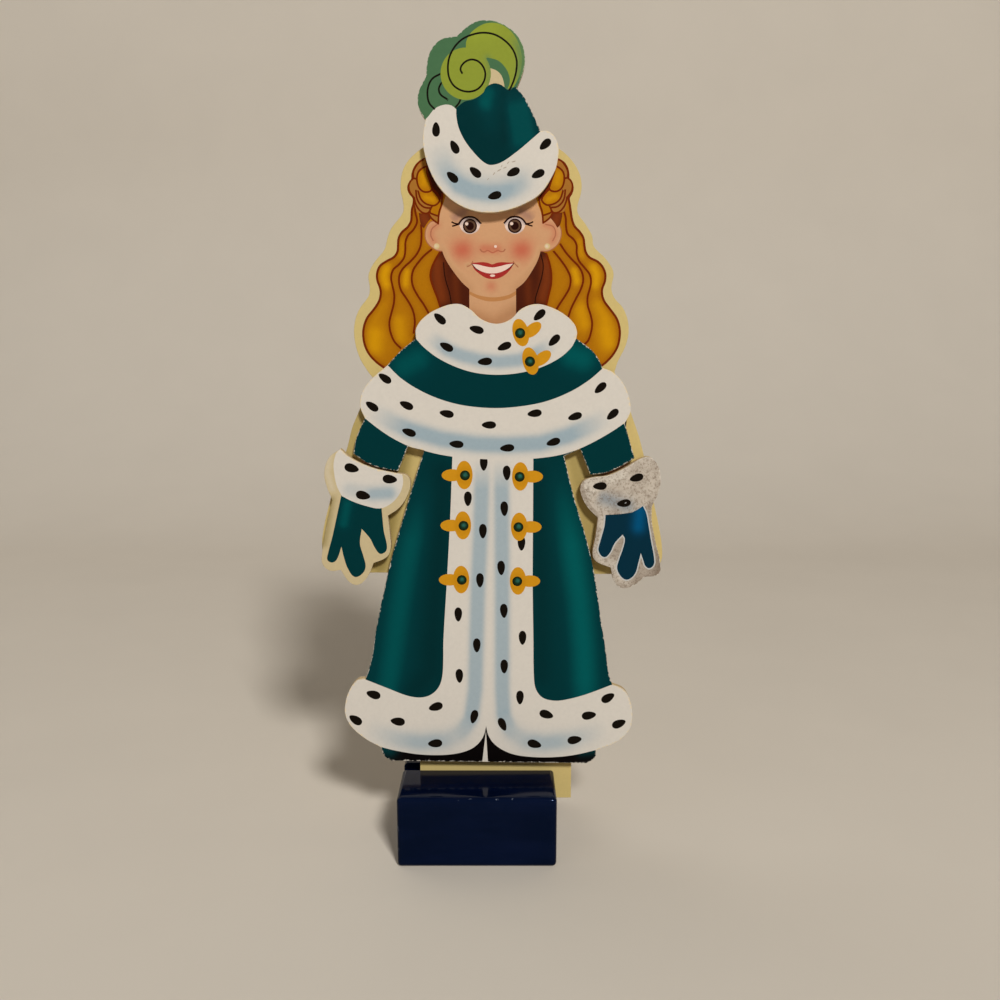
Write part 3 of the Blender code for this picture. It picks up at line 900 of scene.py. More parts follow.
def hat_picture(step):
    """A teal crown, an ermine brim and two curled green plumes."""
    art = Picture("ermine", step)
    art.shape("back_plume", (-20, 209, CORNER), (-14, 209.2, CORNER), (-12.8, 210.4), (-11, 212.4),
              (-8.5, 213.4), (-6.5, 213.2), (-5.2, 212.2, CORNER), (0, 214, CORNER), (12, 217.6, CORNER),
              (20, 217.6, CORNER), (20, 240, CORNER), (-20, 240, CORNER))
    art.line("black", 0.5, [(-9.3, 221.4), (-11.5, 220.2), (-12.6, 218.5), (-13, 216.2), (-12.5, 213.8),
                            (-11, 212.2)])
    art.line("black", 0.5, [(-9.2, 219), (-9.9, 217.5), (-9.4, 216), (-7.6, 214.8)])
    art.line("black", 0.5, [(-4, 214.9), (-4.5, 213.8), (-5.4, 212.8)])
    inner_edge = [(8.7, 217.5, CORNER), (9.3, 219.2), (9, 221.3), (7.8, 223.3), (6, 224.8),
                  (3.3, 225.5, CORNER)]
    art.shape("plume", (-2.5, 228, CORNER), (-2.4, 229.6), (-1.4, 231.5), (0.5, 233.1), (2.6, 234.1),
              (5, 234.3), (7.6, 233.6), (10, 231.7), (11.7, 229), (12.5, 226), (12.4, 223), (11.6, 220.3),
              (10.4, 218, CORNER), *inner_edge, (-2, 222, CORNER))
    art.shape("back_plume", *inner_edge[::-1], (7.8, 218.6, CORNER), (7.5, 220.3), (6.5, 221.8),
              (4.2, 223, CORNER))
    art.shape("glove_border", (4.1, 222.8, CORNER), (5.7, 222.2), (7, 221), (7.6, 219.5), (7.9, 218, CORNER),
              (3.5, 218, CORNER), (3.9, 220.5, CORNER))
    art.oval("plume", -2.6, 221.35, 6.8, 6.7, points=60)
    art.line("black", 0.5, [(-3.5, 221.4), (-4, 222.5), (-3.5, 223.7), (-2.2, 224.7), (-0.7, 225), (1, 224.4),
                            (2.2, 223), (2.7, 221.2), (2.2, 219.2), (0.7, 217.5), (-1.3, 216.8), (-3.5, 217),
                            (-5.7, 218.2), (-7, 220.2), (-7.4, 222.7), (-7, 225.5), (-5.7, 228), (-3.7, 230),
                            (-1.2, 231.2), (2, 231.8), (5, 231.4), (7.7, 230), (10, 227.7), (11.1, 225),
                            (11.1, 222.5), (10.5, 220), (9.5, 217.7), (8.9, 216.8)])
    art.shape("teal", (-5.2, 212.6, CORNER), (-3, 214.2), (-0.5, 214.8), (2, 216.4), (3, 218), (5, 218.9),
              (7, 218.5), (8.4, 217.4, CORNER), (9.2, 217, CORNER), (10.4, 217.9, CORNER), (14, 218, CORNER),
              (19, 206.8, CORNER), (17.8, 206.6, CORNER), (15, 204.2), (11, 201), (7, 198.4), (4, 197.7),
              (2, 198.6), (-0.5, 201), (-3, 204.2), (-4.6, 207.5), (-5.2, 210.5))
    art.glow("teal", -0.28, 60.0, (5, 205))
    art.glow("teal", 0.52, 1.9, (2.6, 214.4), (3.4, 216.4))
    art.glow("teal", 0.16, 1.8, (3.4, 212), (4, 208.6))
    art.glow("teal", -0.1, 0.8, (8, 204), (7.6, 216))
    art.glow("teal", 0.44, 1.6, (14.4, 198.6), (13, 205), (12, 210.5), (10.2, 218.4), flat=1.8, fade=5.5)
    art.glow("plume", 0.25, 2.0, (0, 231.6), (4, 232.6))
    art.glow("plume", -0.4, 0.7, (9.4, 231.4), (11.7, 228), (12.3, 224.6), (11.8, 221.4), (10.6, 218.6),
             fade=4)
    art.glow("plume", -0.25, 0.7, (3.8, 218.8), (4.3, 222), (3.3, 225.4))
    art.glow("back_plume", 0.35, 1.2, (6, 234.2), (10.5, 231.8), (13, 227), (12.6, 221.5))
    art.glow("ermine", -0.42, 1.2, (-9.6, 199.4), (-7.6, 195.2), (-4.6, 192.2), (-1, 190.6), (3, 190),
             (7, 190.1), (11, 191.4), (15.5, 194), flat=0.8, fade=9)
    art.glow("ermine", -0.2, 1.8, (-10.6, 204), (-8.6, 197.4), (-4.5, 193.8), (0, 192.2), (5, 191.9),
             (10, 192.7), (17, 196), flat=0.8, fade=5)
    art.tails(1.9, 1.05, (-10.75, 207, -90), (-5.75, 202.4, -62), (-6.4, 194.5, -42), (-0.1, 195.8, -40),
              (10.3, 195.8, 25), (17.1, 195.3, 25), (19, 203.1, 42), (5.2, 189.6, 15))
    for x, z, size, turn in [(3.4, 194, 0.1, 40), (5, 195.4, 0.13, 52), (6.4, 196.3, 0.16, 30),
                             (7.1, 197.4, 0.1, 60), (8, 197, 0.14, 22), (8.9, 198.3, 0.12, 48),
                             (10.4, 198.6, 0.15, 15)]:
        art.oval("scuff", x, z, size * 4, size, turn, points=10)
    art.glow("scuff", -0.2, 50.0, (7, 197))
    return art


def clasp(art, x, z, side, tilt):
    """A yellow clasp: an upright oval, a side lobe and a round green stone with a light in it. A tilted one
    is a little smaller."""
    c, s = math.cos(math.radians(tilt)), math.sin(math.radians(tilt))
    small = 0.94 if tilt else 1.0
    lobe_turn = 25 if tilt else 0
    for along, up, half_wide, half_tall, turn in [(0.2, 0.1, 2.4, 4.15, 0),
                                                  (3.6, 0.05, 3.1, 1.75, lobe_turn)]:
        along *= side
        art.oval("gold", x + along * c - up * s, z + along * s + up * c, half_wide * small, half_tall * small,
                 tilt + turn)
    art.oval("jewel", x, z, 1.45, 1.45)
    art.glow("jewel", 0.5, 0.5, (x + 0.15, z + 0.3))
    for ink, strength, spread, reach in [("jewel", -0.4, 0.35, 1.4), ("gold", -0.25, 0.5, 1.9)]:
        art.glow(ink, strength, spread, *[(x + reach * math.cos(a), z + reach * math.sin(a))
                                          for a in np.linspace(0, 6.3, 16)])


CAPE_TOP = [(-25.2, 143.5), (-21.3, 139.7), (-16, 136.3), (-10, 133.7), (-3.3, 132), (5.3, 131.3),
            (13.3, 131.9), (20, 133.3), (26.7, 136), (32, 139.3), (35.7, 142.5)]
CAPE_EDGE = [(-31.8, 128.4), (-28, 125.4), (-24.3, 122.9), (-19.8, 120.6), (-14.9, 119.1), (-10.4, 118),
             (-5, 117.2), (5, 116.6), (14, 116.7), (20.4, 117.3), (25, 118.2), (29.6, 119.8), (34.3, 122.1),
             (38.7, 124.7), (42.2, 127.1)]
COLLAR_EDGE = [(-17, 150.8), (-14.7, 148.3), (-10.7, 145.3), (-5.3, 142.7), (0, 141.2), (6, 140.7),
               (12, 141.2), (18, 142.7), (23.3, 145.3), (26.7, 148.3), (28.1, 150.8)]
FRONT_LEFT = [(-6.9, 119), (-7.2, 112), (-7.8, 98.7), (-8.9, 80.3), (-10, 63.3), (-10.3, 53.3), (-11.3, 49),
              (-13.7, 46.3), (-17, 45.3), (-21, 45.9), (-26.3, 48), (-33.3, 50.9)]
FRONT_RIGHT = [(16.2, 119), (16.2, 98.7), (16.2, 80.3), (16.5, 63.3), (16.7, 52), (17.3, 48), (19.3, 45.3),
               (23, 44.3), (27, 44.8), (32.3, 46.3), (39.7, 49.2)]
HEM_EDGE = [(-29.2, 29.8), (-25, 28.7), (-18.3, 27.5), (-11.7, 27.2), (-6.3, 27.7), (-2.3, 29), (0.3, 31),
            (1.9, 33.7), (2.5, 36.4, CORNER), (3.1, 33.7), (4.7, 31), (7.7, 28.7), (11.7, 27.2), (18.3, 26.5),
            (25, 26.7), (30.3, 27.5), (35.4, 28.8)]


def cornered(points):
    """A run of points whose two ends are corners."""
    return [(*points[0][:2], CORNER), *points[1:-1], (*points[-1][:2], CORNER)]


def coat_picture(step):
    """A teal coat with an ermine collar, cape, front and hem, tied with yellow clasps."""
    art = Picture("teal", step)
    art.shape("ermine/front", *cornered(FRONT_LEFT), (-50, 53, CORNER), (-50, 20, CORNER), (55, 20, CORNER),
              (55, 50, CORNER), *cornered(FRONT_RIGHT[::-1]))
    art.shape("lining", *cornered(HEM_EDGE), (37, 22, CORNER), (-31, 22, CORNER))
    art.shape("ermine", (2.45, 34.8, CORNER), (1.2, 24, CORNER), (3.1, 24, CORNER))
    art.tails(2.15, 1.1, (2, 115.5, 90), (8.6, 112.7, 92), (-2.6, 105.2, 90), (7.9, 102.3, 92),
              (1.7, 95.7, 90), (12.9, 92.1, 90), (7, 84.8, 92), (0.8, 81.1, 90), (-5.6, 70.8, 90),
              (7.8, 71.9, 92), (13.3, 63.7, 90), (-0.2, 61.4, 90), (-5.4, 52, 92), (7.9, 54.9, 90),
              (12.6, 45.3, 90), (-1.1, 39.3, 76), (7.4, 36.9, 113))
    art.tails(2.15, 1.26, (-31, 46.2, -18), (-12.5, 42.4, 18), (-23.9, 37.8, -8), (-36.5, 38.3, -35),
              (-12.8, 30.9, 5), (20.5, 40, 160), (33.2, 39.7, 190), (38.8, 45.2, 212), (42.2, 37.1, 203),
              (17, 30.7, 163), (29, 32, 190))
    art.shape("ermine", (-50, 143.6, CORNER), *cornered(CAPE_TOP), (60, 142.5, CORNER), (60, 127.1, CORNER),
              *cornered(CAPE_EDGE[::-1]), (-50, 128.4, CORNER))
    art.tails(2.05, 1.05, (-25.9, 139.7, -35), (-29.7, 131.8, -35), (-19.9, 132.1, -25), (-8.5, 129.7, -12),
              (3.5, 126.5, 0), (16.5, 129.8, 8), (28, 128.9, 18), (35.1, 137, 42), (38.7, 129.5, 42),
              (-19.3, 124.4, -20), (-5.8, 121, -5), (8.7, 119.9, 5), (21.9, 121.6, 18))
    art.shape("ermine/collar", *cornered(COLLAR_EDGE), (40, 165, CORNER), (-30, 165, CORNER))
    art.tails(2.05, 1.05, (-10.2, 156.3, -42), (0.1, 153.3, -15), (-8.4, 148.5, -27), (2.4, 144.4, 5),
              (7.9, 148.6, 22), (17.7, 157.3, 42), (21.9, 150.3, 45))
    for x, z, side, tilt in [(-3.4, 112, -1, 0), (-3.9, 97.3, -1, 0), (-4.5, 81.2, -1, 0),
                             (12.3, 111.6, 1, 0), (12, 96.9, 1, 0), (11.7, 80.8, 1, 0), (12.3, 152.3, 1, 14),
                             (15.1, 144.4, 1, 14)]:
        clasp(art, x, z, side, tilt)
    art.glow("teal", -0.16, 300.0, (5, 90))
    art.glow("teal", 0.4, 3.0, (-20.5, 143), (-16.5, 145.2))
    art.glow("teal", 0.52, 3.0, (30, 145.2), (27, 146.2))
    art.glow("teal", 0.44, 3.0, (-14.4, 114), (-17, 100), (-19.6, 90), (-22.5, 75), (-24.8, 60), (-26.6, 48),
             (-28, 26), fade=22)
    art.glow("teal", -0.18, 2.6, (-10, 113), (-12, 80), (-14, 53), (-20, 47))
    art.glow("teal", 0.6, 3.0, (23.4, 118), (25.2, 104), (27.4, 92), (30, 75), (31.4, 60), (32, 48),
             (32.6, 24), fade=27)
    art.glow("teal", -0.14, 2.0, (17.5, 113), (18.5, 80), (19, 52))
    art.glow("ermine/collar", -0.46, 0.9, (-13.5, 152), (-11, 149.8), (-8, 147.6), (-4, 146), (1, 144.8),
             (6, 144.3), (12, 144.8), (17, 146.6), (22, 149.8), flat=0.8, fade=6)
    art.glow("ermine", -0.5, 1.1, (-30, 131), (-24, 127.2), (-19, 125), (-10, 122.4), (0, 121), (8, 120.7),
             (18, 121.2), (26, 123.4), (33, 126.6), (38, 129.5), flat=1.1, fade=12)
    art.glow("ermine/front", -0.45, 0.75, (1.6, 117), (1.5, 112), (1, 95), (0.3, 81), (-0.3, 62), (-0.7, 48),
             (-1.9, 39), (-4, 35.4), (-7, 33), flat=1.3, fade=9)
    art.glow("ermine/front", -0.4, 1.8, (-1.2, 41), (-2.6, 37.4), (-5.6, 33.8), (-10, 31.9), (-17, 31.2),
             (-23, 32), (-29, 34), (-34, 37), flat=0.5, fade=16)
    art.glow("ermine/front", -0.45, 0.75, (7.1, 117), (7.2, 95), (7.3, 81), (7.3, 62), (7.3, 48), (7.7, 40),
             (9.4, 35.6), (12, 33), flat=1.3, fade=9)
    art.glow("ermine/front", -0.4, 1.8, (7, 42), (8, 38), (10.6, 34), (14.4, 31.8), (20, 31), (27, 31.8),
             (33, 33.6), (39, 36.2), flat=0.5, fade=16)
    art.glow("lining", 0.4, 1.5, (-30, 29.6), (-26.5, 28.8))
    art.glow("lining", 0.34, 1.2, (31.5, 28.6), (36, 29.2))
    return art


def left_glove_picture(step):
    """A teal glove with an ermine cuff and a pale margin."""
    art = Picture("glove_border", step)
    art.shape("teal", (-39, 106.5, CORNER), (-40.3, 101), (-41.9, 94.3), (-43.3, 89.3), (-43.6, 87.2),
              (-42.2, 86.4), (-40.8, 87.4), (-39.4, 91.1, CORNER), (-38.7, 87.7), (-37.6, 84.4),
              (-35.7, 82.1), (-33.4, 83.2), (-32.5, 85.3), (-33.1, 88.4), (-34, 92.1), (-33.4, 96.4, CORNER),
              (-31, 93.5), (-29.8, 91), (-28.2, 89), (-26.5, 89.8), (-26.2, 91.7), (-27, 95.7), (-27.3, 99.4),
              (-27.6, 103.5, CORNER))
    art.shape("ermine", (-41, 113), (-40.3, 109), (-38.9, 106, CORNER), (-36, 104.5), (-32, 103.1),
              (-28, 102.4), (-24.8, 103.8), (-22.3, 106.6), (-21.2, 110), (-21.6, 113.2, CORNER),
              (-20, 116, CORNER), (-36, 124, CORNER), (-40.3, 118.3, CORNER), (-41, 115.8))
    art.tails(2.1, 1.25, (-35.9, 114.1, 165), (-25, 110.9, 174), (-32.8, 106.2, 168))
    art.glow("teal", 0.4, 1.3, (-37.4, 103.6), (-38.2, 100), (-38.6, 98))
    art.glow("teal", -0.16, 100.0, (-35, 95))
    art.glow("ermine", -0.2, 1.2, (-36.6, 107.8), (-31, 106.8), (-25, 106.6), flat=0.5)
    art.glow("ermine", -0.26, 1.2, (-29.8, 106.5), (-25.4, 107), flat=0.5)
    art.glow("glove_border", -0.3, 0.8, (-41.8, 105), (-43, 99), (-44.4, 92))
    art.glow("glove_border", 0.15, 0.6, (-42, 118), (-43, 113), (-41.6, 108))
    return art


def right_glove_picture(step):
    """A faded blue glove with a rubbed cuff and margin."""
    art = Picture("worn_border", step)
    glove = [(37.2, 101, CORNER), (36.9, 97.2), (35.8, 92.8), (35.3, 89.9), (36.9, 88), (38.5, 89.1),
             (40, 92.2), (42.2, 94.7, CORNER), (42.9, 93.4), (42.4, 90.6), (41.3, 87.2), (40.8, 84.6),
             (42.2, 82), (44, 81.3), (46, 83), (47, 86.5), (47.6, 89.2, CORNER), (48.4, 87), (49, 85.4),
             (50.3, 84.7), (51.5, 85.9), (51.4, 88.4), (50.5, 92.8), (49.7, 97.2), (48.9, 101),
             (47.9, 103.1, CORNER), (46.4, 102.1), (44.7, 101.2, CORNER), (43.4, 101), (40.9, 100.7)]
    art.line("ermine", 0.7, glove)
    art.glow("ermine", -0.22, 100.0, (43, 93))
    art.shape("blue", *glove)
    art.shape("worn_ermine", (31, 111.8, CORNER), (30.9, 108), (33.2, 103), (36, 100.4, CORNER), (43, 100.7),
              (44.7, 101.2, CORNER), (47.9, 103.1, CORNER), (50.2, 103.5), (53.5, 106), (57, 111, CORNER),
              (53, 121, CORNER), (40, 121, CORNER))
    art.shape("blue", (37.2, 100.5, CORNER), (40.9, 100.7), (43.4, 101), (44.7, 101.2, CORNER),
              (45.5, 98, CORNER), (38, 98, CORNER))
    art.tails(2.0, 1.1, (35.4, 108.9, 3), (45.9, 111.3, 16), (42.4, 103.9, 8))
    art.oval("worn_ermine", 42.9, 104, 0.3, 0.15, 35)
    art.glow("blue", 0.5, 1.4, (47.1, 101.5), (46.8, 97))
    art.glow("worn_ermine", -0.42, 1.6, (36.6, 105.4), (39.6, 104.3), (43.5, 103))
    art.glow("worn_ermine", 0.3, 1.5, (32.5, 107), (34, 110.5), (41, 112))
    art.glow("worn_border", -0.2, 100.0, (43, 93))
    art.glow("worn_border", -0.2, 0.7, (51.6, 101), (52.6, 94), (53.4, 86), (52, 82), (48, 80), (44, 77.4))
    art.glow("worn_border", 0.25, 0.9, (36, 100), (36.2, 95), (34.6, 90), (36.5, 86.8), (40, 86), (41, 82.5),
             (44, 80.2))
    return art


HAIR_LEFT = [(-14.2, 199.9), (-16, 198.7), (-17, 197.4), (-17.6, 195.7), (-17.7, 194.4), (-18.6, 193.1),
             (-18.8, 191.8), (-18.3, 190.6), (-17.4, 189.5), (-17.4, 188), (-17.9, 186.2), (-18, 184.6),
             (-18.2, 183.1), (-19.1, 181.6), (-20.8, 180.1), (-21.7, 178.5), (-21.9, 176.7), (-22.1, 174.9),
             (-23.1, 173.4), (-25.3, 172.2), (-27.1, 170.9), (-27.9, 169), (-27.9, 167.1), (-27.2, 165),
             (-27, 163.4), (-27.5, 161.3), (-29, 159), (-30.9, 156.7), (-31.9, 154.3), (-32.2, 151.8),
             (-31.8, 149), (-30.6, 146.4), (-28.7, 144.3), (-26.5, 142.6)]
HAIR_RIGHT = [(22.9, 199.7), (24.4, 198.7), (25.3, 197.2), (25.6, 195.7), (25.7, 194.5), (26.6, 193.3),
              (26.8, 191.8), (26.4, 190.5), (25.8, 189.5), (26.1, 187.6), (26.4, 185.6), (26.8, 183.5),
              (27.5, 181.8), (29, 180.2), (30, 178.6), (30.3, 176.7), (30.7, 174.8), (31.8, 173.3),
              (34, 172.2), (35.5, 170.7), (36.3, 168.7), (36.2, 166.7), (35.5, 164.7), (35.5, 163),
              (36.2, 161.1), (37.9, 158.9), (39.6, 156.6), (40.5, 154.2), (40.7, 151.7), (40.2, 148.8),
              (38.8, 146.2), (37, 144.2), (35.2, 142.8)]
LOCK_LEFT = [(-26.5, 142.6), (-23.5, 141), (-20, 142), (-17, 145.5), (-14.5, 150), (-11, 156, CORNER)]
LOCK_RIGHT = [(19.5, 156, CORNER), (23, 150), (25.5, 145.5), (28.5, 142), (32, 141), (35.2, 142.8)]
STRANDS = [
    # Left side, from the outside in
    [(-16.9, 188.5), (-17, 186), (-16.5, 183), (-17.6, 180.8), (-19.1, 179.3), (-19.8, 177.5), (-19.9, 175.2),
     (-20.3, 173.2), (-21.7, 171.4), (-23.4, 169.9), (-24, 167.7), (-23.6, 165.2), (-23.2, 163),
     (-23.4, 160.5), (-24.1, 157.9), (-24.7, 155.4), (-24.5, 152.8), (-23.4, 150), (-21.5, 148)],
    [(-15.4, 182.3), (-15.3, 179.5), (-15.6, 176.5), (-16.7, 174.2), (-18.5, 172.2), (-20.4, 170.5),
     (-21.5, 168.8), (-21.8, 166.7), (-21.3, 164.3), (-19.8, 162), (-18.4, 159.6), (-17.7, 157.5),
     (-17.5, 155.2), (-17.9, 152.2)],
    [(-12.6, 175.4), (-14.6, 173.8), (-16.4, 171.8), (-17.7, 169.9), (-18.2, 167.7), (-17.9, 165.4),
     (-16.6, 162.8), (-14.9, 160.3), (-13.6, 158)],
    # Right side, from the outside in
    [(24.4, 186), (25, 184), (25.1, 181.8), (25.6, 179.7), (27.2, 178.3), (28.1, 176.7), (28.2, 174.3),
     (28.9, 172.3), (30.5, 170.4), (31.9, 168.6), (32.3, 166.6), (32, 164.7), (31.4, 162.4), (31.5, 160),
     (32.3, 157.5), (32.8, 154.9), (32.4, 152.1), (31.7, 150.2), (30.5, 149)],
    [(23.5, 177), (25.1, 174.7), (26.8, 172.8), (28.7, 170.9), (29.8, 169), (30.1, 166.9), (29.4, 164.4),
     (28.1, 161.9), (26.8, 159.2), (26, 156.8)],
    [(21.7, 175), (23.7, 172.6), (25.4, 170.2), (26.5, 167.7), (26.3, 165.1), (25.1, 162.8), (23.5, 160.4),
     (22.3, 158.4)],
]
DEEP_LEFT = [(-10, 175), (-11.5, 172.6), (-12.7, 169.9), (-12.9, 167.7), (-12.2, 165.2), (-11.1, 162.4),
             (-10.2, 159.5)]
DEEP_RIGHT = [(19.6, 174.5), (20.6, 171.5), (21.1, 168.6), (21, 165.6), (20.4, 163), (19.6, 159.5)]
CHIN = [(-2, 164), (0.6, 162.9), (4.7, 162.3), (8.8, 162.9), (11.2, 164.1)]

# Twice the x of the line that mirrors the plaits, and of the one that mirrors the limbs
BRAID_MIRROR = 8.1
LIMB_MIRROR = 10

# How much higher the right plait sits
BRAID_LIFT = 0.15

UPPER_COIL = [(-13.5, 197.9, CORNER), (-14.7, 197.5), (-16, 196.3), (-16.4, 194.5), (-16, 192.5),
              (-15.1, 191.4), (-14, 191), (-12.6, 191.3), (-12.2, 192, CORNER), (-12.9, 194.2),
              (-13.6, 196.3)]
LOWER_COIL = [(-16.1, 191.3, CORNER), (-15.4, 189.2), (-14.2, 188), (-12.5, 187.4), (-11.3, 187.5),
              (-10.2, 188.6), (-10.4, 189.5), (-11.3, 190.7), (-12.2, 191.6, CORNER), (-12.8, 191.1),
              (-14.2, 190.9)]
BRAID_LINES = [
    [*UPPER_COIL, UPPER_COIL[0]],
    LOWER_COIL[:9],
    [(-17.3, 194.7), (-16.4, 194.5)],
    [(-14.4, 199.7), (-15.5, 199.2), (-16.7, 197.8), (-17.4, 196.2), (-17.3, 194.7, CORNER), (-18.2, 193.9),
     (-18.7, 192.6), (-18.4, 191), (-17.2, 189.4)],
    [(-16.7, 191.6), (-16.5, 189.5), (-15.8, 188), (-14.4, 186.9), (-12.7, 186.7)],
    [(-17.2, 189.6), (-17, 188.4), (-16.3, 186.8), (-15, 185.5), (-13.6, 185.3), (-12.8, 186)],
    [(-12.2, 192), (-10.9, 190.7), (-9.6, 189.2), (-9.3, 190.6)],
    [(-9.4, 190.6), (-9.6, 187.7), (-10.3, 185.6), (-10.6, 182.6)],
    [(-12.2, 187.4), (-12.9, 185.6), (-11.9, 185), (-10.4, 184.5)],
    [(-13.3, 185.3), (-12.6, 184.1), (-11.6, 183.2), (-10.5, 182.5)],
]


def mirrored(points, twice_middle, lift=0.0):
    """Points mirrored left to right about an upright line, and lifted."""
    return [(twice_middle - p[0], p[1] + lift, *p[2:]) for p in points]


def braid(art, right):
    """A plait beside the temple: two gold coils over brown ones, with a pointed end."""
    def place(points):
        return mirrored(points, BRAID_MIRROR, BRAID_LIFT) if right else points

    temple = [(-9.3, 190.4, CORNER), (-9.1, 191.8), (-10, 193.4), (-11.3, 195.8), (-12.7, 198.4),
              (-14, 200.2, CORNER)]
    art.shape("braid", *place([(-14.4, 199.7, CORNER), (-15.5, 199.2), (-16.7, 197.8), (-17.4, 196.2),
                               (-17.3, 194.7), (-18.2, 193.9), (-18.7, 192.6), (-18.4, 191),
                               (-17.2, 189.4, CORNER), (-17, 187.4), (-16.5, 185.6, CORNER),
                               (-13.1, 185.1, CORNER), (-12.6, 184.1), (-10.5, 182.6, CORNER), (-10.3, 185.6),
                               (-9.5, 187.7), *temple]))
    # Brown hair between the coils and the temple, drawn darker as a painted shadow of the hat's edge that
    # lies over it
    art.shape("deep_hair", *place([
        (-12.2, 192, CORNER), (-12.9, 194.2), (-13.6, 197.9, CORNER), *temple[::-1], (-9.7, 189.2, CORNER)]))
    art.shape("deep_hair", *place([
        (-16, 185.4, CORNER), (-14.6, 185.2), (-13.3, 185.1, CORNER), (-12.7, 183.8, CORNER), (-13.8, 182.5),
        (-14.6, 181.2, CORNER), (-15.3, 182), (-15.7, 183.2)]))
    art.shape("hair", *place(UPPER_COIL))
    art.shape("hair", *place(LOWER_COIL))
    art.shape("hair", *place([(-12.2, 187.2, CORNER), (-11, 187.5), (-10, 188.6, CORNER), (-9.5, 188, CORNER),
                              (-10.3, 185.9), (-10.5, 184.4, CORNER), (-12.9, 185.6, CORNER)]))
    for line in BRAID_LINES:
        art.line("hair_line", 0.5, place(line))
    art.glow("hair", 0.32, 0.8, *place([(-14.8, 195.6), (-14.4, 193.4)]))
    art.glow("hair", 0.32, 0.6, *place([(-14, 189.6), (-12, 188.9)]))
    art.glow("deep_hair", 0.5, 1.2, *place([(-14.6, 184.4), (-14, 182.8)]))


def eye(art, x, z, outer):
    """An open eye with a brown iris. Outer is the side of its lashes: -1 left, 1 right."""
    def at(across, up):
        return (x + outer * across, z + up)

    art.oval("lid", *at(2.6, 3.2), 3.4, 2.6, outer * 12)
    art.glow("lid", -0.42, 1.0, at(4, 2.4), at(1.8, 3.8))
    art.shape("white", (*at(3.1, 0.45), CORNER), at(1.9, 1.75), at(0.3, 2.4), at(-1.4, 2.1),
              (*at(-3, 0.6), CORNER), at(-2.2, -1.25), at(0.1, -2.2), at(2.1, -1.35))
    art.oval("pupil", x, z, 1.98, 1.98)
    art.oval("iris", x, z, 1.6, 1.6)
    art.oval("pupil", x, z, 1.1, 1.1)
    art.oval("white", x - 0.9, z + 0.6, 0.46, 0.44)
    art.line("pupil", 0.5, [at(3.2, 0.5), at(2, 1.9), at(0.3, 2.5), at(-1.5, 2.15), at(-3.05, 0.7)])
    art.line("pupil", 0.42, [at(2.9, 0.55), at(4.2, 0.7), at(5.15, 1.15)])
    art.line("pupil", 0.42, [at(2.9, 0.55), at(4, 0.2), at(4.95, -0.05)])
    art.glow("white", -0.3, 0.4, at(2.9, 0.7), at(0.2, 2.3), at(-2.8, 0.7))
    art.glow("white", -0.2, 0.35, at(-2.2, -1.25), at(0.1, -2.2), at(2.1, -1.35))


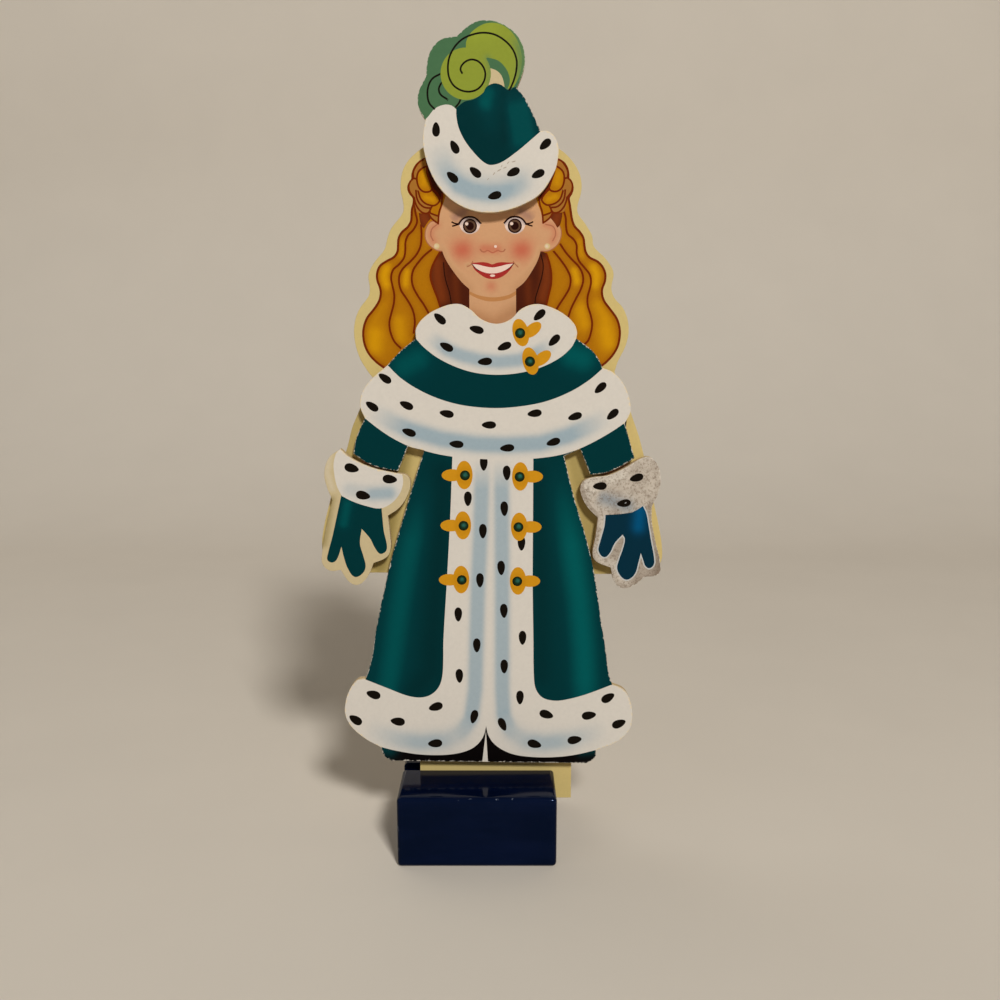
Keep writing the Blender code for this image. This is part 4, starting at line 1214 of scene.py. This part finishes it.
def face_picture(art):
    """A smiling face with rosy cheeks, and ears with pearl studs."""
    for ear in [[(-10.2, 183, CORNER), (-12.4, 183.1), (-13.8, 181.6), (-14.3, 179.4), (-13.8, 177.5),
                 (-12.5, 176.1), (-10.9, 175.2), (-9, 175, CORNER)],
                [(18, 183, CORNER), (19.6, 183.6), (21.1, 184), (22.6, 183), (23.6, 181.2), (23.8, 179.5),
                 (23.2, 177.5), (21.9, 176), (20.2, 175.1), (18, 175, CORNER)]]:
        art.shape("skin", *ear)
        art.line("crease", 0.25, ear)
    for fold in [[(-10.9, 182.3), (-12.4, 181), (-12.7, 179.3), (-12, 177.8)],
                 [(19.4, 182.3), (21.6, 181.6), (22.2, 179.6), (21.4, 177.8)]]:
        art.glow("skin", 0.22, 0.8, *fold)
        art.line("crease", 0.3, fold)
    face = [(-7.5, 192), (-9.2, 187.8), (-10.1, 185), (-10.4, 182.2), (-10.1, 178.5), (-9.5, 175),
            (-8.5, 172.6), (-6.7, 169.8), (-4.1, 166.5), (-2, 164.6, CORNER), (-2, 158, CORNER),
            (-2.5, 150, CORNER), (11.6, 150, CORNER), (11.2, 158, CORNER), (11.2, 164.6, CORNER),
            (13.5, 166.5), (15.8, 169.8), (17.2, 172.4), (18, 175), (18.4, 178.5), (18.4, 182.5), (18.2, 185),
            (17.2, 187.8), (15.6, 192), (12.5, 196), (8.5, 198.2), (4.2, 197.2), (0, 198.2), (-4, 196)]
    art.shape("skin", *face)
    shade = [(11.2, 163), (9.4, 162), (6.5, 161.3), (3.5, 161.2), (0.6, 161.9), (-2, 163.1)]
    art.shape("neck", *cornered(CHIN), *cornered(shade))
    for x in (-11.1, 19.9):
        art.oval("pearl", x, 176.35, 0.78, 0.78)
        art.glow("pearl", 0.5, 0.35, (x - 0.1, 176.45))
    eye(art, -1.75, 181.85, -1)
    eye(art, 10.8, 181.9, 1)
    art.line("crease", 0.34, [(1.1, 175.6), (1.5, 175), (2.3, 174.8), (3.2, 175.2), (4.6, 174.6), (6, 175.2),
                              (6.9, 174.9), (7.7, 175), (8.1, 175.6)])
    art.oval("white", 5.4, 176.3, 0.4, 0.38)
    art.shape("lip", (-1.4, 171.8, CORNER), (0.2, 171.9), (1.9, 172), (3.3, 171.8), (4.5, 171.4),
              (5.7, 171.8), (7.1, 172), (9, 171.9), (10.7, 171.9, CORNER), (9.5, 169.9), (7.9, 168.4),
              (6.3, 167.6), (4.5, 167.35), (2.6, 167.7), (1, 168.7), (-0.6, 170.1))
    art.shape("white", (-1.2, 171.5, CORNER), (0.6, 171.3), (2.2, 170.9), (4.5, 170.55), (6.7, 170.9),
              (8.7, 171.4), (10.4, 171.6, CORNER), (9.4, 170.6), (7.9, 169.7), (6.3, 169.1), (4.5, 168.9),
              (3, 169), (1.4, 169.5), (-0.3, 170.5))
    art.line("pupil", 0.22, [(-1.4, 171.7), (-0.3, 170.4), (0.8, 169.6)])
    art.line("pupil", 0.22, [(10.6, 171.7), (9.4, 170.5), (8.5, 169.8)])
    art.oval("white", 4.57, 168.3, 0.72, 0.32)
    art.line("crease", 0.28, [(-2.6, 170.8), (-2, 171), (-1.3, 171.5), (-1, 172.3)])
    art.line("crease", 0.28, [(10.3, 172.3), (10.8, 171.6), (11.4, 171), (11.8, 170.6)])
    for cheek in (-3.9, 12.7):
        art.glow("skin", 0.34, 1.9, (cheek - 0.3, 175.3), (cheek + 0.3, 175.4))
        art.glow("skin", 0.12, 3.6, (cheek, 175.4))
    art.glow("skin", 0.32, 1.0, (2.2, 175.7), (5.8, 175.6))
    art.glow("crease", 0.3, 1.5, (4.6, 175))
    art.glow("skin", 0.28, 1.1, (4.2, 165.4))
    art.glow("skin", -0.25, 0.5, (-2.4, 171.1))
    art.glow("skin", -0.25, 0.5, (11.5, 171.1))
    art.glow("skin", -0.15, 1.0, (-9.5, 175), (-6.7, 169.8), (-2, 164.6))
    art.glow("skin", -0.15, 1.0, (18, 175), (15.8, 169.8), (11.2, 164.6))
    art.glow("skin", -0.3, 1.6, (-1, 157), (5, 155), (11, 158.5))
    for brow in [[(-6.4, 189.6), (-3.7, 191.2), (-0.6, 190.6)], [(15.4, 189.6), (12.7, 191.2), (9.6, 190.6)]]:
        art.line("braid", 0.75, brow)


def limbs(art, right):
    """An arm with drawn fingers, a leg in white tights and a shoe."""
    def place(points):
        return mirrored(points, LIMB_MIRROR) if right else points

    art.shape("skin", *place([
        (-9, 153), (-19, 147), (-26.5, 132), (-33, 117), (-38.5, 102), (-41.5, 94), (-40.5, 88), (-37, 85),
        (-33, 86.5), (-31.5, 93), (-29.5, 102), (-23.5, 118), (-16, 130), (-8, 138)]))
    for finger in [[(-39.4, 92), (-40, 87.8)], [(-37.4, 92), (-37.3, 86)], [(-35.4, 92.2), (-34.7, 87)]]:
        art.line("crease", 0.25, place(finger))
    art.shape("ermine", *place([
        (-4, 68, CORNER), (4, 68, CORNER), (3.8, 45), (3.4, 31, CORNER), (-2.6, 31, CORNER), (-3.6, 45)]))
    art.shape("teal", *place([
        (3.8, 32.5, CORNER), (-2.8, 32.5), (-5.5, 29), (-4, 26.4), (3.8, 26, CORNER)]))


def doll_picture(step):
    """The doll: long wavy hair, the face, and a plain underdress where the coat lies."""
    art = Picture("border", step)
    limbs(art, False)
    limbs(art, True)
    # Painted shade on the margin between the arms and the skirt, and beside the left arm below the cape,
    # where the garments shade the board
    for strength, *gap in [(-0.42, (-22, 117), (-24.5, 106), (-27, 94), (-29, 85)),
                           (-0.3, (28.5, 117), (31, 106), (36, 84)),
                           (-0.22, (-32, 134), (-36.5, 123), (-40, 112))]:
        art.glow("border", strength, 1.6, *gap, flat=1.0)
    art.shape("skin", (-10, 152, CORNER), (-3, 157, CORNER), (12.4, 157, CORNER), (20, 152, CORNER),
              (18, 139, CORNER), (-8, 139, CORNER))
    hair_top = [(17.5, 203.6), (11, 205.9), (4.3, 206.6), (-3.5, 206), (-9.6, 203.6)]
    art.shape("hair", *HAIR_LEFT, *LOCK_LEFT[1:], *LOCK_RIGHT[:-1], *HAIR_RIGHT[::-1], *hair_top)
    art.shape("deep_hair", *cornered(DEEP_LEFT), (-9.8, 156), (-7.4, 153, CORNER), (17, 153, CORNER),
              (19.2, 156), *cornered(DEEP_RIGHT[::-1]), (5, 180, CORNER))
    for strand in STRANDS:
        art.line("hair_line", 0.56, strand, shade=-0.26, spread=0.6)
    for side, inner in [(DEEP_LEFT, [(-9.2, 172), (-9, 169), (-8.5, 166.5), (-7.6, 163.6), (-6.9, 159)]),
                        (DEEP_RIGHT, [(18.1, 174.3), (18.8, 171.2), (18.5, 168.3), (17.6, 165.1),
                                      (16.7, 162.1), (16.5, 159)])]:
        art.line("hair_line", 0.56, side, shade=-0.26, spread=0.6)
        art.line("pupil", 0.3, inner)
    art.glow("deep_hair", 0.45, 1.4, (-11, 172), (-11, 168), (-9.8, 162))
    art.glow("deep_hair", 0.45, 1.2, (19.7, 172), (19.8, 167), (18.6, 162))
    art.glow("deep_hair", 0.2, 0.8, (-6, 168), (-5.4, 160))
    art.glow("deep_hair", 0.2, 0.8, (14.5, 167), (14.8, 160))
    for edge in (HAIR_LEFT, HAIR_RIGHT, LOCK_LEFT, LOCK_RIGHT):
        art.line("hair_line", 0.64, edge, shade=-0.26, spread=0.6)
    for strength, spread, *points in [
            (0.5, 1.1, (-25.3, 170.4), (-26, 168.2), (-25.4, 166)), (0.45, 0.8, (-19.6, 169.4), (-20, 166)),
            (0.42, 1.8, (-28.8, 152), (-29, 148.6)), (0.3, 1.4, (-22, 155.6), (-21.6, 151)),
            (0.3, 0.9, (-20.6, 177.4), (-21, 174)), (0.12, 1.3, (-27, 160), (-28.6, 156.6)),
            (0.5, 1.1, (33, 170.4), (33.8, 168.4), (33.4, 166)), (0.5, 0.8, (27.6, 169.6), (28.4, 166.6)),
            (0.42, 1.8, (36.8, 153), (37.6, 149.6)), (0.35, 1.6, (29.6, 159), (30.6, 155)),
            (0.3, 0.9, (29, 177.4), (29.4, 174)), (0.3, 1.3, (34.6, 160), (36.4, 156.6))]:
        art.glow("hair", strength, spread, *points)
    art.glow("hair", 0.4, 2.0, (-4, 202), (1, 203.5))
    art.glow("hair", 0.4, 2.0, (8, 203.5), (13, 202))
    art.line("hair_line", 0.4, [(4.2, 206.4), (4, 202), (4.2, 197.2)], shade=-0.4)
    for strand in [[(3, 205.6), (-3, 203.4), (-8, 199)], [(3.2, 203), (-1, 201), (-4.4, 198)],
                   [(5.4, 205.6), (11.2, 203.4), (16.2, 199)], [(5.2, 203), (9.4, 201), (12.8, 198)]]:
        art.line("hair_line", 0.35, strand, shade=-0.2, spread=0.6)
    face_picture(art)
    braid(art, False)
    braid(art, True)
    art.shape("slip", (-11, 151, CORNER), (-6, 153.5, CORNER), (-2, 148.5), (5, 146.6), (12, 148.5),
              (16, 153.5, CORNER), (21, 151, CORNER), (18.5, 138), (16.5, 121, CORNER), (22, 95),
              (27, 70, CORNER), (16, 66.5), (5, 65.5), (-6, 66.5), (-17, 70, CORNER), (-12, 95),
              (-6.5, 121, CORNER), (-8.5, 138))
    for x in (-9, -2, 5, 12, 19):
        art.glow("slip", -0.35, 1.6, (5 + (x - 5) * 0.55, 118), (x, 68))
    art.line("braid", 0.8, [(-6.4, 121), (5, 119.6), (16.4, 121)])
    return art


# Stage

# The backdrop's near end, a seam in its floor, its far end, half its width and its height, in metres
NEAR_END, FLOOR_SEAM, FAR_END, HALF_WIDTH, WALL_TOP = -2.0, -0.6, 0.75, 3.5, 1.6

# Radius of its bend in metres, the points along the bend, and the angle in degrees below which it is smooth
BEND, BEND_POINTS, BEND_ANGLE = 0.35, 24, 60

# Where the lamps look, the camera's sensor in millimetres, and how near the camera sees in metres
LAMP_TARGET = (0.005, 0.0, 0.12)
SENSOR_WIDTH = 36.0
NEAREST_SEEN = 0.01

# Where each lamp stands and how wide it is, in metres
LAMPS = {
    "key": ((0.53, -1.58, 1.33), 0.3),
    "fill": ((-0.9, -0.9, 0.6), 1.0),
    "back": ((-0.65, 0.5, 1.0), 0.7),
}


def backdrop(floor):
    """A floor that bends up into a wall."""
    profile = [(NEAR_END, 0.0), (FLOOR_SEAM, 0.0), (FAR_END - BEND, 0.0)]
    profile += [(FAR_END - BEND + BEND * math.sin(a), BEND - BEND * math.cos(a))
                for a in np.linspace(0, math.pi / 2, BEND_POINTS)[1:]]
    profile.append((FAR_END, WALL_TOP))
    points = [(x, y, z) for y, z in profile for x in (-HALF_WIDTH, HALF_WIDTH)]
    faces = [(2 * i, 2 * i + 1, 2 * i + 3, 2 * i + 2) for i in range(len(profile) - 1)]
    return make_piece("backdrop", points, faces, [backdrop_paper(floor)], smooth_angle=BEND_ANGLE)


def add_lamp(scene, name, place, size, power):
    """A square soft light that looks at the middle of the doll."""
    lamp = bpy.data.lights.new(name, "AREA")
    lamp.size = size
    lamp.energy = power
    item = bpy.data.objects.new(name, lamp)
    item.location = place
    item.visible_camera = False
    item.rotation_euler = (Vector(LAMP_TARGET) - Vector(place)).to_track_quat("-Z", "Y").to_euler()
    scene.collection.objects.link(item)


def soft_sky(studio):
    """Faint light from all sides, which the camera and reflections see as the pale surroundings."""
    world = bpy.data.worlds.new("soft_sky")
    world.use_nodes = True
    tree = world.node_tree
    tree.nodes.clear()
    rays = add_node(tree, "LightPath").node.outputs
    direct = add_node(tree, "Math", [rays["Is Camera Ray"], rays["Is Glossy Ray"]], operation="ADD")
    seen = add_node(tree, "Math", [direct, rays["Is Transmission Ray"]], operation="ADD", use_clamp=True)
    light = add_node(tree, "Background", {"Color": (1.0, 1.0, 1.0, 1.0), "Strength": studio.sky})
    pale = add_node(tree, "Background", {"Color": rgba(studio.horizon), "Strength": 1.0})
    add_node(tree, "OutputWorld", {"Surface": add_node(tree, "MixShader", [seen, light, pale])})
    return world


def add_camera(scene, studio):
    """The camera, where the photograph was taken from."""
    lens = bpy.data.cameras.new("camera")
    lens.lens = studio.camera_lens
    lens.sensor_width = SENSOR_WIDTH
    lens.clip_start = NEAREST_SEEN
    scene.camera = bpy.data.objects.new("camera", lens)
    scene.camera.location = studio.camera_place
    scene.camera.rotation_euler = (math.pi / 2 - studio.camera_pitch, 0.0, 0.0)
    scene.collection.objects.link(scene.camera)


# Discs let into the doll, magnets let into each garment, and each print's finish and picture

DISCS = ["doll_head_disc", "doll_chest_disc", "doll_skirt_disc", "doll_left_hand_disc",
         "doll_right_hand_disc"]
GARMENTS = {
    "hat": ["hat_magnet"],
    "coat": ["coat_chest_magnet", "coat_skirt_magnet"],
    "left_glove": ["left_glove_magnet"],
    "right_glove": ["right_glove_magnet"],
}
PRINTS = {
    "doll": ("doll_paper", doll_picture),
    "hat": ("hat_paper", hat_picture),
    "coat": ("coat_paper", coat_picture),
    "left_glove": ("glove_paper", left_glove_picture),
    "right_glove": ("worn_glove_paper", right_glove_picture),
}


# Operators

class BuildStudio(bpy.types.Operator):
    """Adds the pale floor, the light and the camera"""

    bl_idname = "dressup.studio"
    bl_label = "Studio"

    def execute(self, context):
        scene, studio = context.scene, context.scene.doll_studio
        backdrop(studio.floor)
        for name, (place, size) in LAMPS.items():
            add_lamp(scene, name + "_light", place, size, getattr(studio, name + "_power"))
        scene.world = soft_sky(studio)
        add_camera(scene, studio)
        scene.view_settings.view_transform = "Standard"
        return {"FINISHED"}


class BuildStand(bpy.types.Operator):
    """Adds the glossy navy block that holds the doll"""

    bl_idname = "dressup.stand"
    bl_label = "Stand"

    def execute(self, context):
        colours = context.scene.doll_colours
        enamel = painted_wood("navy_gloss_enamel_on_wood", colours.enamel, colours.enamel_light,
                              colours.primer, colours.enamel_gloss, streak=(20.0, 6.0, 6.0), roughness=0.1,
                              gloss=0.11, peel=0.05, chip_width=1.5)
        settle(stand_block(context.scene.doll_sizes, enamel), "stand", "painted_stand", "stand_block")
        return {"FINISHED"}


class BuildBoards(bpy.types.Operator):
    """Adds the doll's board and the boards of the garments"""

    bl_idname = "dressup.boards"
    bl_label = "Boards"

    def execute(self, context):
        sizes, colours = context.scene.doll_sizes, context.scene.doll_colours
        paint = painted_wood("pale_yellow_paint_on_wood", colours.tab_paint, colours.border, colours.wood,
                             colours.paper, streak=(1.4, 1.4, 22.0), roughness=0.5, gloss=0.06, peel=0.15,
                             chip_width=1.2)
        board = sawn_board("painted_doll_board", "doll_board", sizes, DISCS, paint)
        settle(board, "doll", "painted_board", "doll_board")
        low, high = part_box("coat_board")
        wood = sawn_plywood(colours, low.y, high.y)
        for garment, magnets in GARMENTS.items():
            board = sawn_board("sawn_" + garment + "_board", garment + "_board", sizes, magnets, wood)
            settle(board, garment, "garment_wood", garment + "_board")
        return {"FINISHED"}


class BuildInlays(bpy.types.Operator):
    """Adds the steel discs in the doll and the magnets in the garments"""

    bl_idname = "dressup.inlays"
    bl_label = "Discs and magnets"

    def execute(self, context):
        sizes, colours = context.scene.doll_sizes, context.scene.doll_colours
        steel = inlay_material("stamped_steel", colours.steel, metallic=1.0, roughness=0.35, mark=0.06)
        ferrite = inlay_material("pressed_ferrite", colours.ferrite, metallic=0.0, roughness=0.5, mark=0.15)
        for node in DISCS:
            settle(coin(node, sizes, steel), "doll", "steel_disc", node)
        for garment, magnets in GARMENTS.items():
            body = "hat_carrier" if garment == "hat" else garment
            for node in magnets:
                settle(coin(node, sizes, ferrite), body, "ferrite", node)
        return {"FINISHED"}


class BuildPrints(bpy.types.Operator):
    """Adds the printed sheets of the doll and the garments"""

    bl_idname = "dressup.prints"
    bl_label = "Prints"

    def execute(self, context):
        sizes, colours = context.scene.doll_sizes, context.scene.doll_colours
        for body, (slot, draw_picture) in PRINTS.items():
            sheet = printed_sheet(body + "_print", draw_picture(sizes.print_step / MM), sizes, colours)
            settle(sheet, body, slot, body + "_print")
        return {"FINISHED"}


class DollPanel(bpy.types.Panel):
    """Lists the pieces, and the sizes and colours behind them"""

    bl_idname = "VIEW3D_PT_dressup_doll"
    bl_label = "Dress-up doll"
    bl_space_type = "VIEW_3D"
    bl_region_type = "UI"
    bl_category = "Dress-up doll"

    def draw(self, context):
        for operator in OPERATORS:
            self.layout.operator(operator.bl_idname)
        for group in (getattr(context.scene, name) for name in GROUPS):
            box = self.layout.box()
            for name in group.__annotations__:
                box.prop(group, name)


OPERATORS = [BuildStudio, BuildStand, BuildBoards, BuildInlays, BuildPrints]
GROUPS = {"doll_sizes": DollSizes, "doll_colours": DollColours, "doll_studio": DollStudio}


def register():
    """Registers the classes and hangs the settings on the scene."""
    for item in [*GROUPS.values(), *OPERATORS, DollPanel]:
        bpy.utils.register_class(item)
    for name, group in GROUPS.items():
        setattr(bpy.types.Scene, name, PointerProperty(type=group))


def unregister():
    """Takes the settings and the classes away again."""
    for name in GROUPS:
        delattr(bpy.types.Scene, name)
    for item in [DollPanel, *OPERATORS[::-1], *GROUPS.values()]:
        bpy.utils.unregister_class(item)


def main():
    """Builds every piece in order."""
    register()
    bpy.ops.dressup.studio()
    bpy.ops.dressup.stand()
    bpy.ops.dressup.boards()
    bpy.ops.dressup.inlays()
    bpy.ops.dressup.prints()


if __name__ == "__main__":
    main()
